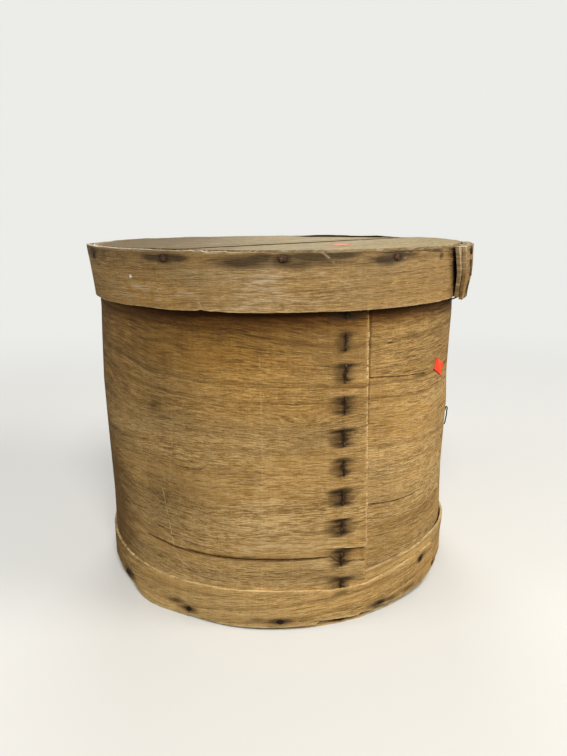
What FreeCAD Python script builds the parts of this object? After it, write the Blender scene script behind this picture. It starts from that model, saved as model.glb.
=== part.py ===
import FreeCAD, Part
import math
import os
import Sketcher
from FreeCAD import Placement, Rotation, Vector

# Round bentwood box with a lift-off lid, in millimetres.
# The origin is the middle of the base, +Z is up and -Y is the front.
# A bearing is an angle in degrees about +Z, from the front (-Y) towards the right (+X).
# The side, the foot hoop and the lid hoop are strips of wood wound a little over one turn.
# Where a strip meets its own inner end it climbs over it, and the two plies are fastened.

DRIVING = [
    ("boxRadius", 145.8, "outside of the side sheet, away from its lap"),
    ("sheetThickness", 2.4, "side sheet"),
    ("sheetHeight", 259.0, "side sheet, floor to the underside of the lid"),
    ("plySpace", 0.1, "air between two plies of wood"),
    ("seamBearing", 25.5, "outer end of the side sheet"),
    ("seamLap", 74.0, "length over which the side sheet lies on itself"),
    ("climbAngle", 26.0, "arc over which a strip climbs onto its inner end"),
    ("climbMargin", 0.5, "arc from the end of a climb to the inner end"),
    ("footThickness", 1.9, "foot hoop"),
    ("footHeight", 28.5, "foot hoop"),
    ("footStartRise", 10.0, "how much higher the foot hoop stands along its first stretch"),
    ("footStartLength", 175.0, "foot hoop's first, higher stretch"),
    ("footLap", 81.0, "foot hoop's outer end, past the seam"),
    ("footButt", 1.8, "foot hoop's inner end, past the seam"),
    ("baseThickness", 12.0, "bottom boards"),
    ("baseSeat", 0.3, "space round the bottom boards"),
    ("lidThickness", 10.0, "lid boards"),
    ("lidForward", 1.0, "how far the loose lid sits to the front"),
    ("lidSideways", 1.0, "how far the loose lid sits to the right"),
    ("lidPlay", 0.9, "space between the seam and the lid hoop"),
    ("lidSeat", 0.8, "space round the lid boards"),
    ("lidProud", 1.4, "how far the lid boards stand above their hoop"),
    ("hoopThickness", 2.6, "lid hoop and lap strip"),
    ("hoopDepth", 37.1, "lid hoop"),
    ("hoopFlare", 2.4, "how much wider the lid hoop is at its top edge"),
    ("hoopEndBearing", 57.0, "outer end of the lid hoop"),
    ("hoopLap", 78.0, "length over which the lid hoop lies on itself"),
    ("stripLength", 80.0, "lap strip, along the lid hoop"),
    ("stripDrop", 2.1, "how far the lap strip hangs below the hoop"),
    ("jointBearing", 47.0, "direction square to the joint between two boards"),
    ("jointOffset", 46.5, "joint between two boards, from the middle"),
    ("jointSpace", 0.8, "open joint between two boards"),
    ("crownLength", 12.7, "staple, outside its legs"),
    ("wireWidth", 1.3, "staple wire, along the crown's flat"),
    ("wireDepth", 0.6, "staple wire, through its flat"),
    ("clinchLength", 3.6, "bent-over end of a staple leg"),
    ("stapleProud", 0.05, "crown above the wood"),
    ("seamStapleInset", 17.6, "seam staples, back from the seam"),
    ("seamStapleFirst", 7.8, "lowest seam staple, above the floor"),
    ("seamStapleLast", 27.2, "highest seam staple, below the sheet's top edge"),
    ("footStapleInset", 21.4, "foot hoop staples, back from its outer end"),
    ("footStapleFirst", 7.5, "lower foot hoop staple, above the floor"),
    ("footStapleLast", 7.0, "upper foot hoop staple, below the hoop's top edge"),
    ("lapStapleInset", 21.9, "lap strip staples, in from its end"),
    ("lapStapleFirst", 5.1, "lower lap strip staple, above the hoop's lower edge"),
    ("lapStapleLast", 16.3, "upper lap strip staple, below the hoop's top edge"),
    ("looseStapleBearing", 76.0, "half-pulled staple on the right side"),
    ("looseStapleHeight", 128.0, "half-pulled staple, middle of its crown"),
    ("looseStapleProud", 1.8, "half-pulled staple, crown above the wood"),
    ("nailHead", 5.3, "nail head, across"),
    ("nailHeadThickness", 0.9, "nail head"),
    ("nailShank", 2.2, "nail shank, across"),
    ("nailLength", 22.0, "nail, under its head"),
    ("nailPoint", 4.0, "tapered end of a nail"),
    ("lidNailRise", -0.4, "lid nails, above the middle of the lid boards"),
    ("footNailRise", 1.0, "foot nails, above the middle of the bottom boards"),
    ("labelLength", 19.0, "paper label"),
    ("labelWidth", 9.5, "paper label"),
    ("labelThickness", 0.15, "paper label"),
    ("labelSpace", 0.02, "glue under a paper label"),
    ("sideLabelBearing", 58.3, "middle of the label on the side"),
    ("sideLabelHeight", 177.6, "middle of the label on the side"),
    ("sideLabelTilt", 25.0, "how far the label on the side leans"),
    ("lidLabelSide", 47.5, "middle of the label on the lid, to the right"),
    ("lidLabelFront", 81.0, "middle of the label on the lid, to the front"),
    ("lidLabelTurn", 75.0, "how far the label on the lid is turned"),
]

# Worked out from the driving sizes, as formulas of the same sheet.
DERIVED = [
    ("sheetPitch", "sheetThickness + plySpace"),
    ("sheetInside", "boxRadius - sheetThickness"),
    ("sheetInnerBearing", "seamBearing - seamLap / boxRadius * 180 / pi"),
    ("climbEnd", "sheetInnerBearing - climbMargin"),
    ("climbStart", "climbEnd - climbAngle"),
    ("easeFactor", "(1 + cos(climbAngle / 2)) / (2 * sin(climbAngle / 2) ^ 2)"),
    ("sheetEase", "sheetPitch * easeFactor"),
    ("footRadius", "boxRadius + plySpace + footThickness"),
    ("footPitch", "max(sheetPitch; footThickness + plySpace)"),
    ("footEase", "footPitch * easeFactor"),
    ("footInnerBearing", "seamBearing + footButt / footRadius * 180 / pi"),
    ("footOuterBearing", "seamBearing + footLap / footRadius * 180 / pi"),
    ("footInside", "footRadius - footThickness"),
    ("footStartBearing", "footInnerBearing + footStartLength / footRadius * 180 / pi"),
    ("baseRadius", "sheetInside - baseSeat"),
    ("jointNear", "jointOffset - jointSpace / 2"),
    ("jointFar", "jointOffset + jointSpace / 2"),
    ("lidTop", "sheetHeight + lidThickness"),
    ("hoopTop", "lidTop - lidProud"),
    ("hoopBottom", "hoopTop - hoopDepth"),
    ("hoopPitch", "hoopThickness + plySpace"),
    ("hoopEase", "hoopPitch * easeFactor"),
    ("hoopSlope", "hoopFlare / hoopDepth"),
    ("hoopInsideLow", "boxRadius + sheetPitch + lidPlay - lidForward"),
    ("hoopLow", "hoopInsideLow + hoopThickness"),
    ("hoopHigh", "hoopLow + hoopFlare"),
    ("hoopInnerBearing", "hoopEndBearing + hoopLap / hoopLow * 180 / pi"),
    ("hoopClimbEnd", "hoopInnerBearing + climbMargin"),
    ("hoopClimbStart", "hoopClimbEnd + climbAngle"),
    ("lidRadius", "hoopInsideLow + hoopSlope * (sheetHeight - hoopBottom) - lidSeat"),
    ("stripBottom", "hoopBottom - stripDrop"),
    ("stripInsideHigh", "hoopHigh + hoopPitch + plySpace"),
    ("stripInsideLow", "stripInsideHigh - hoopSlope * (hoopTop - stripBottom)"),
    ("stripHigh", "stripInsideHigh + hoopThickness"),
    ("stripLow", "stripInsideLow + hoopThickness"),
    ("stripFarBearing", "hoopEndBearing + stripLength / hoopLow * 180 / pi"),
    ("seamStapleBearing", "seamBearing - seamStapleInset / boxRadius * 180 / pi"),
    ("seamStapleFace", "boxRadius + sheetPitch + stapleProud"),
    ("seamStapleDepth", "seamStapleFace - sheetInside"),
    ("seamStapleRun", "sheetHeight - seamStapleFirst - seamStapleLast"),
    ("footStapleBearing", "footOuterBearing - footStapleInset / footRadius * 180 / pi"),
    ("footStapleFace", "footRadius + footPitch + stapleProud"),
    ("footStapleDepth", "footStapleFace - sheetInside"),
    ("footStapleRun", "footHeight - footStapleFirst - footStapleLast"),
    ("lapStapleBearing", "hoopEndBearing + lapStapleInset / hoopLow * 180 / pi"),
    ("lapStapleDepth", "3 * hoopThickness + 2 * plySpace + stapleProud"),
    ("lapStapleRun", "hoopDepth - lapStapleFirst - lapStapleLast"),
    ("looseStapleFace", "boxRadius + looseStapleProud"),
    ("looseStapleDepth", "looseStapleFace - sheetInside"),
    ("footNailHeight", "baseThickness / 2 + footNailRise"),
    ("lidNailHeight", "sheetHeight + lidThickness / 2 + lidNailRise"),
    ("labelFace", "boxRadius + labelSpace"),
]

# The nails were driven by hand, so their bearings are uneven.
LID_NAIL_BEARINGS = [-61.0, -28.0, 1.7, 30.8, 65.5, 91.0, 120.0, 150.5, 181.0, 211.0, 240.0, 270.0]
FOOT_NAIL_BEARINGS = [1.0, 31.0, 61.0, 91.0, 121.0, 151.0, 181.0, 211.0, 241.0, 272.0, 304.0, 333.8]
SEAM_STAPLE_COUNT = 11
FOOT_STAPLE_COUNT = 2
LAP_STAPLE_COUNT = 2

SHEET = "Sizes"
FULL_TURN = 360.0
# In a sketch on the XY plane angles run from +X, a quarter turn ahead of the front.
FRONT = -90.0


def make_sizes(doc):
    sheet = doc.addObject("Spreadsheet::Sheet", SHEET)
    row = 1
    for alias, value, note in DRIVING:
        sheet.set(f"A{row}", alias)
        sheet.set(f"B{row}", str(value))
        sheet.set(f"C{row}", note)
        sheet.setAlias(f"B{row}", alias)
        row += 1
    doc.recompute()
    for alias, formula in DERIVED:
        sheet.set(f"A{row}", alias)
        sheet.set(f"B{row}", f"={formula}")
        sheet.setAlias(f"B{row}", alias)
        doc.recompute()
        row += 1
    return sheet


def cell(alias):
    """Name a cell of the sheet in a formula."""
    return f"{SHEET}.{alias}"


def size(sheet, alias):
    """Read a cell of the sheet."""
    return float(getattr(sheet, alias))


def bind(thing, path, formula):
    """Tie one property of a feature to the sheet."""
    thing.setExpression(path, formula)


def direction(bearing):
    """Unit vector on the ground that points out at a bearing."""
    angle = math.radians(bearing + FRONT)
    return Vector(math.cos(angle), math.sin(angle), 0)


def new_body(doc, label):
    body = doc.addObject("PartDesign::Body", label)
    body.Label = label
    return body


def plane_of(body, role):
    for feature in body.Origin.OriginFeatures:
        if feature.Role == role:
            return feature
    raise ValueError(role)


def new_sketch(body, name, role, height=None):
    sketch = body.newObject("Sketcher::SketchObject", name)
    sketch.AttachmentSupport = [(plane_of(body, role), "")]
    sketch.MapMode = "FlatFace"
    if height:
        bind(sketch, "AttachmentOffset.Base.z", cell(height))
    return sketch


def rule(sketch, *constraint):
    """Add one constraint and return its index."""
    return sketch.addConstraint(Sketcher.Constraint(*constraint))


def measure(sketch, name, formula, *constraint):
    """Add a dimension, name it and tie it to the sheet."""
    index = rule(sketch, *constraint)
    sketch.renameConstraint(index, name)
    bind(sketch, f"Constraints.{name}", formula)


def add_arc(sketch, centre, radius, first, last, way):
    """Add an arc between two bearings, and return its id, its near point and its far point."""
    low, high = (first, last) if way > 0 else (last, first)
    circle = Part.Circle(centre, Vector(0, 0, 1), radius)
    start = math.radians(low + FRONT)
    end = math.radians(high + FRONT)
    arc = sketch.addGeometry(Part.ArcOfCircle(circle, start, end), False)
    return (arc, 1, 2) if way > 0 else (arc, 2, 1)


def add_ray(sketch, name, bearing, reach, alias):
    """Add a construction line from the middle that points along a bearing."""
    line = sketch.addGeometry(Part.LineSegment(Vector(0, 0, 0), direction(bearing) * reach), True)
    rule(sketch, "Coincident", line, 1, -1, 1)
    angle = math.radians(bearing + FRONT)
    measure(sketch, name, f"{cell(alias)} + {FRONT}", "Angle", line, angle)
    return line


def wound_strip(sketch, sheet, strip, radius_alias):
    """Draw a strip seen from above: one turn, a climb in two arcs and a lap over its own inner end."""
    way = strip["way"]
    radius = size(sheet, radius_alias)
    thickness = size(sheet, strip["thickness"])
    pitch = size(sheet, strip["pitch"])
    ease = size(sheet, strip["ease"])
    inner_end = size(sheet, strip["inner_end"])
    climb_start = size(sheet, strip["climb_start"])
    climb_end = size(sheet, strip["climb_end"])
    outer_end = size(sheet, strip["outer_end"])

    # Bearings in the order in which the strip is wound, always growing or always shrinking.
    turn = inner_end + way * ((way * (climb_start - inner_end)) % FULL_TURN)
    climbed = turn + way * ((way * (climb_end - climb_start)) % FULL_TURN)
    middle = (turn + climbed) / 2
    last = climbed + way * ((way * (outer_end - climb_end)) % FULL_TURN)
    flat_centre = direction(climb_start) * -ease
    tight_centre = direction(climb_end) * ease
    middle_of_box = Vector(0, 0, 0)

    faces = []
    for shrink in (0.0, thickness):
        faces.append([
            add_arc(sketch, middle_of_box, radius - shrink, inner_end, turn, way),
            add_arc(sketch, flat_centre, radius + ease - shrink, turn, middle, way),
            add_arc(sketch, tight_centre, radius + pitch - ease - shrink, middle, climbed, way),
            add_arc(sketch, middle_of_box, radius + pitch - shrink, climbed, last, way),
        ])
    outside, inside = faces
    for face in faces:
        rule(sketch, "Coincident", face[0][0], 3, -1, 1)
        rule(sketch, "Coincident", face[3][0], 3, -1, 1)
        for near, far in zip(face, face[1:]):
            rule(sketch, "Tangent", near[0], near[2], far[0], far[1])
    for outer, inner in zip(outside[1:3], inside[1:3]):
        rule(sketch, "Coincident", inner[0], 3, outer[0], 3)

    measure(sketch, "outside", cell(radius_alias), "Radius", outside[0][0], radius)
    measure(sketch, "inside", f"{cell(radius_alias)} - {cell(strip['thickness'])}",
            "Radius", inside[0][0], radius - thickness)
    measure(sketch, "climbed", f"{cell(radius_alias)} + {cell(strip['pitch'])}",
            "Radius", outside[3][0], radius + pitch)
    measure(sketch, "easing", f"{cell(radius_alias)} + {cell(strip['ease'])}",
            "Radius", outside[1][0], radius + ease)

    start_ray = add_ray(sketch, "climbStarts", climb_start, radius, strip["climb_start"])
    rule(sketch, "Coincident", start_ray, 2, outside[0][0], outside[0][2])
    end_ray = add_ray(sketch, "climbEnds", climb_end, radius + pitch, strip["climb_end"])
    rule(sketch, "Coincident", end_ray, 2, outside[3][0], outside[3][1])

    ends = [
        ("innerEnd", inner_end, strip["inner_end"], outside[0], inside[0], 1, radius),
        ("outerEnd", outer_end, strip["outer_end"], outside[3], inside[3], 2, radius + pitch),
    ]
    for name, bearing, alias, outer, inner, point, reach in ends:
        ray = add_ray(sketch, name, bearing, reach, alias)
        edge = sketch.addGeometry(
            Part.LineSegment(direction(bearing) * (reach - thickness), direction(bearing) * reach), False)
        rule(sketch, "Coincident", edge, 1, inner[0], inner[point])
        rule(sketch, "Coincident", edge, 2, outer[0], outer[point])
        rule(sketch, "Coincident", ray, 2, edge, 2)
        rule(sketch, "PointOnObject", edge, 1, ray)


def ring_sector(sketch, sheet, inside_alias, outside_alias, first_alias, last_alias):
    """Draw a piece of a ring between two bearings."""
    inside = size(sheet, inside_alias)
    outside = size(sheet, outside_alias)
    first = size(sheet, first_alias)
    last = size(sheet, last_alias)
    middle = Vector(0, 0, 0)
    arcs = [add_arc(sketch, middle, inside, first, last, 1),
            add_arc(sketch, middle, outside, first, last, 1)]
    for arc in arcs:
        rule(sketch, "Coincident", arc[0], 3, -1, 1)
    measure(sketch, "inside", cell(inside_alias), "Radius", arcs[0][0], inside)
    measure(sketch, "outside", cell(outside_alias), "Radius", arcs[1][0], outside)
    for name, bearing, alias, point in (("first", first, first_alias, 1), ("last", last, last_alias, 2)):
        ray = add_ray(sketch, name, bearing, outside, alias)
        edge = sketch.addGeometry(
            Part.LineSegment(direction(bearing) * inside, direction(bearing) * outside), False)
        rule(sketch, "Coincident", edge, 1, arcs[0][0], point)
        rule(sketch, "Coincident", edge, 2, arcs[1][0], point)
        rule(sketch, "Coincident", ray, 2, edge, 2)
        rule(sketch, "PointOnObject", edge, 1, ray)


def pad(body, sketch, alias, midplane=False):
    feature = body.newObject("PartDesign::Pad", f"{sketch.Name}_pad")
    feature.Profile = sketch
    feature.Midplane = midplane
    bind(feature, "Length", cell(alias))
    return feature


def loft(body, low_sketch, high_sketch):
    feature = body.newObject("PartDesign::AdditiveLoft", f"{body.Name}_loft")
    feature.Profile = low_sketch
    feature.Sections = [high_sketch]
    feature.Ruled = True
    return feature


def carry_with_lid(body):
    """Seat a piece of the lid where the loose lid sits."""
    bind(body, "Placement.Base.x", cell("lidSideways"))
    bind(body, "Placement.Base.y", f"-{cell('lidForward')}")


SIDE_STRIP = {
    "way": 1, "thickness": "sheetThickness", "pitch": "sheetPitch", "ease": "sheetEase",
    "inner_end": "sheetInnerBearing", "climb_start": "climbStart", "climb_end": "climbEnd",
    "outer_end": "seamBearing",
}
FOOT_STRIP = {
    "way": 1, "thickness": "footThickness", "pitch": "footPitch", "ease": "footEase",
    "inner_end": "footInnerBearing", "climb_start": "climbStart", "climb_end": "climbEnd",
    "outer_end": "footOuterBearing",
}
HOOP_STRIP = {
    "way": -1, "thickness": "hoopThickness", "pitch": "hoopPitch", "ease": "hoopEase",
    "inner_end": "hoopInnerBearing", "climb_start": "hoopClimbStart", "climb_end": "hoopClimbEnd",
    "outer_end": "hoopEndBearing",
}


def make_side_sheet(doc, sheet):
    body = new_body(doc, "side_sheet")
    sketch = new_sketch(body, "side_plan", "XY_Plane")
    wound_strip(sketch, sheet, SIDE_STRIP, "boxRadius")
    pad(body, sketch, "sheetHeight")
    return body


def make_foot_hoop(doc, sheet):
    """The foot hoop kept its full width along its first stretch and broke away lower elsewhere."""
    body = new_body(doc, "foot_hoop")
    sketch = new_sketch(body, "foot_plan", "XY_Plane")
    wound_strip(sketch, sheet, FOOT_STRIP, "footRadius")
    pad(body, sketch, "footHeight")
    start = new_sketch(body, "foot_start_plan", "XY_Plane", "footHeight")
    ring_sector(start, sheet, "footInside", "footRadius", "footInnerBearing", "footStartBearing")
    pad(body, start, "footStartRise")
    return body


def make_lid_hoop(doc, sheet):
    """The lid hoop flares towards its top, so it is lofted between two plans."""
    body = new_body(doc, "lid_hoop")
    sketches = []
    for name, radius, height in (("hoop_low", "hoopLow", "hoopBottom"), ("hoop_high", "hoopHigh", "hoopTop")):
        sketch = new_sketch(body, name, "XY_Plane", height)
        wound_strip(sketch, sheet, HOOP_STRIP, radius)
        sketches.append(sketch)
    loft(body, *sketches)
    carry_with_lid(body)
    return body


def make_lap_strip(doc, sheet):
    """A short strip doubles the lid hoop over its lap."""
    body = new_body(doc, "lid_lap_strip")
    low = new_sketch(body, "strip_low", "XY_Plane", "stripBottom")
    ring_sector(low, sheet, "stripInsideLow", "stripLow", "hoopEndBearing", "stripFarBearing")
    high = new_sketch(body, "strip_high", "XY_Plane", "hoopTop")
    ring_sector(high, sheet, "stripInsideHigh", "stripHigh", "hoopEndBearing", "stripFarBearing")
    loft(body, low, high)
    carry_with_lid(body)
    return body


def make_board(doc, sheet, label, radius_alias, offset_alias, thickness, height, is_wide):
    """One board of a round head: the part of a disc on one side of the joint."""
    radius = size(sheet, radius_alias)
    offset = size(sheet, offset_alias)
    bearing = size(sheet, "jointBearing")
    half_angle = math.degrees(math.acos(offset / radius))
    body = new_body(doc, label)
    sketch = new_sketch(body, f"{label}_plan", "XY_Plane", height)
    first, last = bearing - half_angle, bearing + half_angle
    if is_wide:
        first, last = last, first + FULL_TURN
    rim = add_arc(sketch, Vector(0, 0, 0), radius, first, last, 1)
    rule(sketch, "Coincident", rim[0], 3, -1, 1)
    measure(sketch, "rim", cell(radius_alias), "Radius", rim[0], radius)
    edge = sketch.addGeometry(
        Part.LineSegment(direction(last) * radius, direction(first) * radius), False)
    rule(sketch, "Coincident", edge, 1, rim[0], 2)
    rule(sketch, "Coincident", edge, 2, rim[0], 1)
    square = add_ray(sketch, "square", bearing, offset, "jointBearing")
    rule(sketch, "PointOnObject", square, 2, edge)
    rule(sketch, "Perpendicular", square, edge)
    measure(sketch, "offset", cell(offset_alias), "Distance", square, offset)
    pad(body, sketch, thickness)
    return body


def make_bottom_boards(doc, sheet):
    wide = make_board(doc, sheet, "bottom_board_wide", "baseRadius", "jointNear",
                      "baseThickness", None, True)
    narrow = make_board(doc, sheet, "bottom_board_narrow", "baseRadius", "jointFar",
                        "baseThickness", None, False)
    return [wide, narrow]


def make_lid_boards(doc, sheet):
    wide = make_board(doc, sheet, "lid_board_wide", "lidRadius", "jointNear",
                      "lidThickness", "sheetHeight", True)
    narrow = make_board(doc, sheet, "lid_board_narrow", "lidRadius", "jointFar",
                        "lidThickness", "sheetHeight", False)
    for body in (wide, narrow):
        carry_with_lid(body)
    return [wide, narrow]


def staple_profile(sketch, sheet, face_alias, depth_alias, middle_alias):
    """Draw a clinched staple from the side: crown outside, legs inwards, ends bent to each other."""
    face = -size(sheet, face_alias)
    back = face + size(sheet, depth_alias)
    wire = size(sheet, "wireDepth")
    half = size(sheet, "crownLength") / 2
    bent = size(sheet, "clinchLength")
    middle = size(sheet, middle_alias)
    corners = [
        (face, middle - half), (face, middle + half), (back, middle + half), (back, middle + half - bent),
        (back - wire, middle + half - bent), (back - wire, middle + half - wire),
        (face + wire, middle + half - wire), (face + wire, middle - half + wire),
        (back - wire, middle - half + wire), (back - wire, middle - half + bent),
        (back, middle - half + bent), (back, middle - half),
    ]
    lines = []
    for near, far in zip(corners, corners[1:] + corners[:1]):
        line = Part.LineSegment(Vector(near[0], near[1], 0), Vector(far[0], far[1], 0))
        lines.append(sketch.addGeometry(line, False))
    for near, far in zip(lines, lines[1:] + lines[:1]):
        rule(sketch, "Coincident", near, 2, far, 1)
    for index, line in enumerate(lines):
        rule(sketch, "Horizontal" if index % 2 else "Vertical", line)
    crown, top_leg, top_bend, top_tip, top_bend_in, top_leg_in = lines[:6]
    crown_in, low_leg_in, low_bend_in, low_tip, low_bend, low_leg = lines[6:]
    half_crown = f"{cell('crownLength')} / 2"
    measure(sketch, "face", cell(face_alias), "DistanceX", crown, 1, -1, 1, -face)
    measure(sketch, "foot", f"{cell(middle_alias)} - {half_crown}",
            "DistanceY", -1, 1, crown, 1, middle - half)
    measure(sketch, "crown", cell("crownLength"), "DistanceY", crown, 1, crown, 2, 2 * half)
    measure(sketch, "leg", cell(depth_alias), "DistanceX", top_leg, 1, top_leg, 2, back - face)
    measure(sketch, "bend", cell("clinchLength"), "DistanceY", top_bend, 2, top_bend, 1, bent)
    measure(sketch, "wire", cell("wireDepth"), "DistanceX", top_tip, 2, top_tip, 1, wire)
    rule(sketch, "Equal", top_tip, low_tip)
    rule(sketch, "Equal", top_bend, low_bend)
    rule(sketch, "Equal", top_bend_in, low_bend_in)
    rule(sketch, "Equal", top_leg_in, low_leg_in)
    measure(sketch, "crownWire", cell("wireDepth"), "DistanceX", crown, 2, crown_in, 1, wire)
    measure(sketch, "legWire", cell("wireDepth"), "DistanceY", top_leg_in, 1, top_leg, 2, wire)


def make_staples(doc, sheet, label, face, depth, first, run=None, count=1):
    """A column of staples on the front; their body is then turned to its bearing."""
    body = new_body(doc, label)
    sketch = new_sketch(body, f"{label}_side", "YZ_Plane")
    staple_profile(sketch, sheet, face, depth, first)
    staple = pad(body, sketch, "wireWidth", midplane=True)
    if count > 1:
        column = body.newObject("PartDesign::LinearPattern", f"{label}_column")
        column.Originals = [staple]
        column.Direction = (sketch, ["V_Axis"])
        column.Occurrences = count
        bind(column, "Length", cell(run))
        body.Tip = column
    return body


def turn_to(body, bearing_alias):
    body.Placement = Placement(Vector(0, 0, 0), Rotation(Vector(0, 0, 1), 1))
    bind(body, "Placement.Rotation.Angle", cell(bearing_alias))


def make_seam_staples(doc, sheet):
    body = make_staples(doc, sheet, "seam_staples", "seamStapleFace", "seamStapleDepth",
                        "seamStapleFirst", "seamStapleRun", SEAM_STAPLE_COUNT)
    turn_to(body, "seamStapleBearing")
    return body


def make_foot_staples(doc, sheet):
    body = make_staples(doc, sheet, "foot_hoop_staples", "footStapleFace", "footStapleDepth",
                        "footStapleFirst", "footStapleRun", FOOT_STAPLE_COUNT)
    turn_to(body, "footStapleBearing")
    return body


def make_loose_staple(doc, sheet):
    body = make_staples(doc, sheet, "loose_staple", "looseStapleFace", "looseStapleDepth",
                        "looseStapleHeight")
    turn_to(body, "looseStapleBearing")
    return body


def make_lap_staples(doc, sheet):
    """The lap staples lie on the flared strip: they lean with it about its lower edge."""
    body = make_staples(doc, sheet, "lid_lap_staples", "stapleProud", "lapStapleDepth",
                        "lapStapleFirst", "lapStapleRun", LAP_STAPLE_COUNT)
    bearing = size(sheet, "lapStapleBearing")
    lean = math.degrees(math.atan(size(sheet, "hoopSlope")))
    face = size(sheet, "stripHigh") - size(sheet, "hoopFlare")
    corner = direction(bearing) * face + Vector(0, 0, size(sheet, "hoopBottom"))
    rotation = Rotation(Vector(0, 0, 1), bearing) * Rotation(Vector(1, 0, 0), lean)
    body.Placement = Placement(corner + lid_place(sheet), rotation)
    return body


def lid_place(sheet):
    return Vector(size(sheet, "lidSideways"), -size(sheet, "lidForward"), 0)


def make_nail(doc, sheet):
    """One round nail, lying along +Y with the underside of its head at the origin."""
    head = size(sheet, "nailHead") / 2
    head_top = size(sheet, "nailHeadThickness")
    shank = size(sheet, "nailShank") / 2
    length = size(sheet, "nailLength")
    point = size(sheet, "nailPoint")
    body = new_body(doc, "nail")
    sketch = new_sketch(body, "nail_half", "YZ_Plane")
    corners = [(-head_top, 0), (-head_top, head), (0, head), (0, shank), (length - point, shank), (length, 0)]
    lines = []
    for near, far in zip(corners, corners[1:] + corners[:1]):
        line = Part.LineSegment(Vector(near[0], near[1], 0), Vector(far[0], far[1], 0))
        lines.append(sketch.addGeometry(line, False))
    for near, far in zip(lines, lines[1:] + lines[:1]):
        rule(sketch, "Coincident", near, 2, far, 1)
    crown, rim, under, side, tip, axis = lines
    rule(sketch, "Vertical", crown)
    rule(sketch, "Horizontal", rim)
    rule(sketch, "Vertical", under)
    rule(sketch, "Horizontal", side)
    rule(sketch, "Horizontal", axis)
    rule(sketch, "PointOnObject", axis, 1, -1)
    rule(sketch, "PointOnObject", under, 1, -2)
    measure(sketch, "head", f"{cell('nailHead')} / 2", "DistanceY", crown, 1, crown, 2, head)
    measure(sketch, "headTop", cell("nailHeadThickness"), "DistanceX", rim, 1, rim, 2, head_top)
    measure(sketch, "shank", f"{cell('nailShank')} / 2", "DistanceY", -1, 1, side, 1, shank)
    measure(sketch, "point", cell("nailPoint"), "DistanceX", tip, 1, tip, 2, point)
    measure(sketch, "length", cell("nailLength"), "DistanceX", -1, 1, tip, 2, length)
    turned = body.newObject("PartDesign::Revolution", "nail_turned")
    turned.Profile = sketch
    turned.ReferenceAxis = (sketch, ["H_Axis"])
    turned.Angle = FULL_TURN
    return body


def strip_radius(sheet, strip, radius, bearing):
    """Outside radius of a wound strip at a bearing, for what is driven through it."""
    way = strip["way"]
    pitch = size(sheet, strip["pitch"])
    ease = size(sheet, strip["ease"])
    climb_start = size(sheet, strip["climb_start"])
    climb_end = size(sheet, strip["climb_end"])
    past = (way * (bearing - climb_start)) % FULL_TURN
    climb = (way * (climb_end - climb_start)) % FULL_TURN
    lap = (way * (size(sheet, strip["outer_end"]) - climb_start)) % FULL_TURN
    if past > lap:
        return radius
    if past > climb:
        return radius + pitch
    if past > climb / 2:
        centre = direction(climb_end) * ease
        bend = radius + pitch - ease
    else:
        centre = direction(climb_start) * -ease
        bend = radius + ease
    outwards = direction(bearing)
    along = outwards.dot(centre)
    return along + math.sqrt(bend ** 2 - centre.Length ** 2 + along ** 2)


def drive_nails(doc, label, nail, seats):
    """A group of nails; each seat is a bearing, a radius, a height and the centre it points to."""
    links = []
    for index, (bearing, radius, height, centre) in enumerate(seats):
        link = doc.addObject("App::Link", f"{label}_{index + 1}")
        link.LinkedObject = nail
        place = centre + direction(bearing) * radius + Vector(0, 0, height)
        link.Placement = Placement(place, Rotation(Vector(0, 0, 1), bearing))
        links.append(link)
    group = doc.addObject("Part::Compound", label)
    group.Label = label
    group.Links = links
    return group


def make_foot_nails(doc, sheet, nail):
    height = size(sheet, "footNailHeight")
    radius = size(sheet, "footRadius")
    seats = []
    for bearing in FOOT_NAIL_BEARINGS:
        seat = strip_radius(sheet, FOOT_STRIP, radius, bearing)
        seats.append((bearing, seat, height, Vector(0, 0, 0)))
    return drive_nails(doc, "foot_nails", nail, seats)


def make_lid_nails(doc, sheet, nail):
    height = size(sheet, "lidNailHeight")
    radius = size(sheet, "hoopLow") + size(sheet, "hoopSlope") * (height - size(sheet, "hoopBottom"))
    on_strip = size(sheet, "hoopPitch")
    seats = []
    for bearing in LID_NAIL_BEARINGS:
        seat = strip_radius(sheet, HOOP_STRIP, radius, bearing)
        if size(sheet, "hoopEndBearing") < bearing < size(sheet, "stripFarBearing"):
            seat += on_strip + size(sheet, "plySpace")
        seats.append((bearing, seat, height, lid_place(sheet)))
    return drive_nails(doc, "lid_nails", nail, seats)


def make_side_label(doc, sheet):
    """A paper label bent round the side: what a leaning block takes out of a thin tube."""
    tube_out = doc.addObject("Part::Cylinder", "label_tube_outside")
    tube_in = doc.addObject("Part::Cylinder", "label_tube_inside")
    bind(tube_out, "Radius", f"{cell('labelFace')} + {cell('labelThickness')}")
    bind(tube_in, "Radius", cell("labelFace"))
    for tube in (tube_out, tube_in):
        bind(tube, "Height", cell("sheetHeight"))
    tube = doc.addObject("Part::Cut", "label_tube")
    tube.Base = tube_out
    tube.Tool = tube_in
    block = doc.addObject("Part::Box", "label_block")
    bind(block, "Length", cell("labelLength"))
    bind(block, "Width", f"2 * {cell('labelFace')}")
    bind(block, "Height", cell("labelWidth"))
    turn = Rotation(Vector(0, 0, 1), size(sheet, "sideLabelBearing"))
    rotation = turn * Rotation(Vector(0, 1, 0), size(sheet, "sideLabelTilt"))
    reach = 2 * size(sheet, "labelFace")
    corner = Vector(-size(sheet, "labelLength") / 2, -reach, -size(sheet, "labelWidth") / 2)
    middle = Vector(0, 0, size(sheet, "sideLabelHeight"))
    block.Placement = Placement(middle + rotation.multVec(corner), rotation)
    label = doc.addObject("Part::Common", "side_label")
    label.Label = "side_label"
    label.Base = tube
    label.Tool = block
    return label


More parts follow.
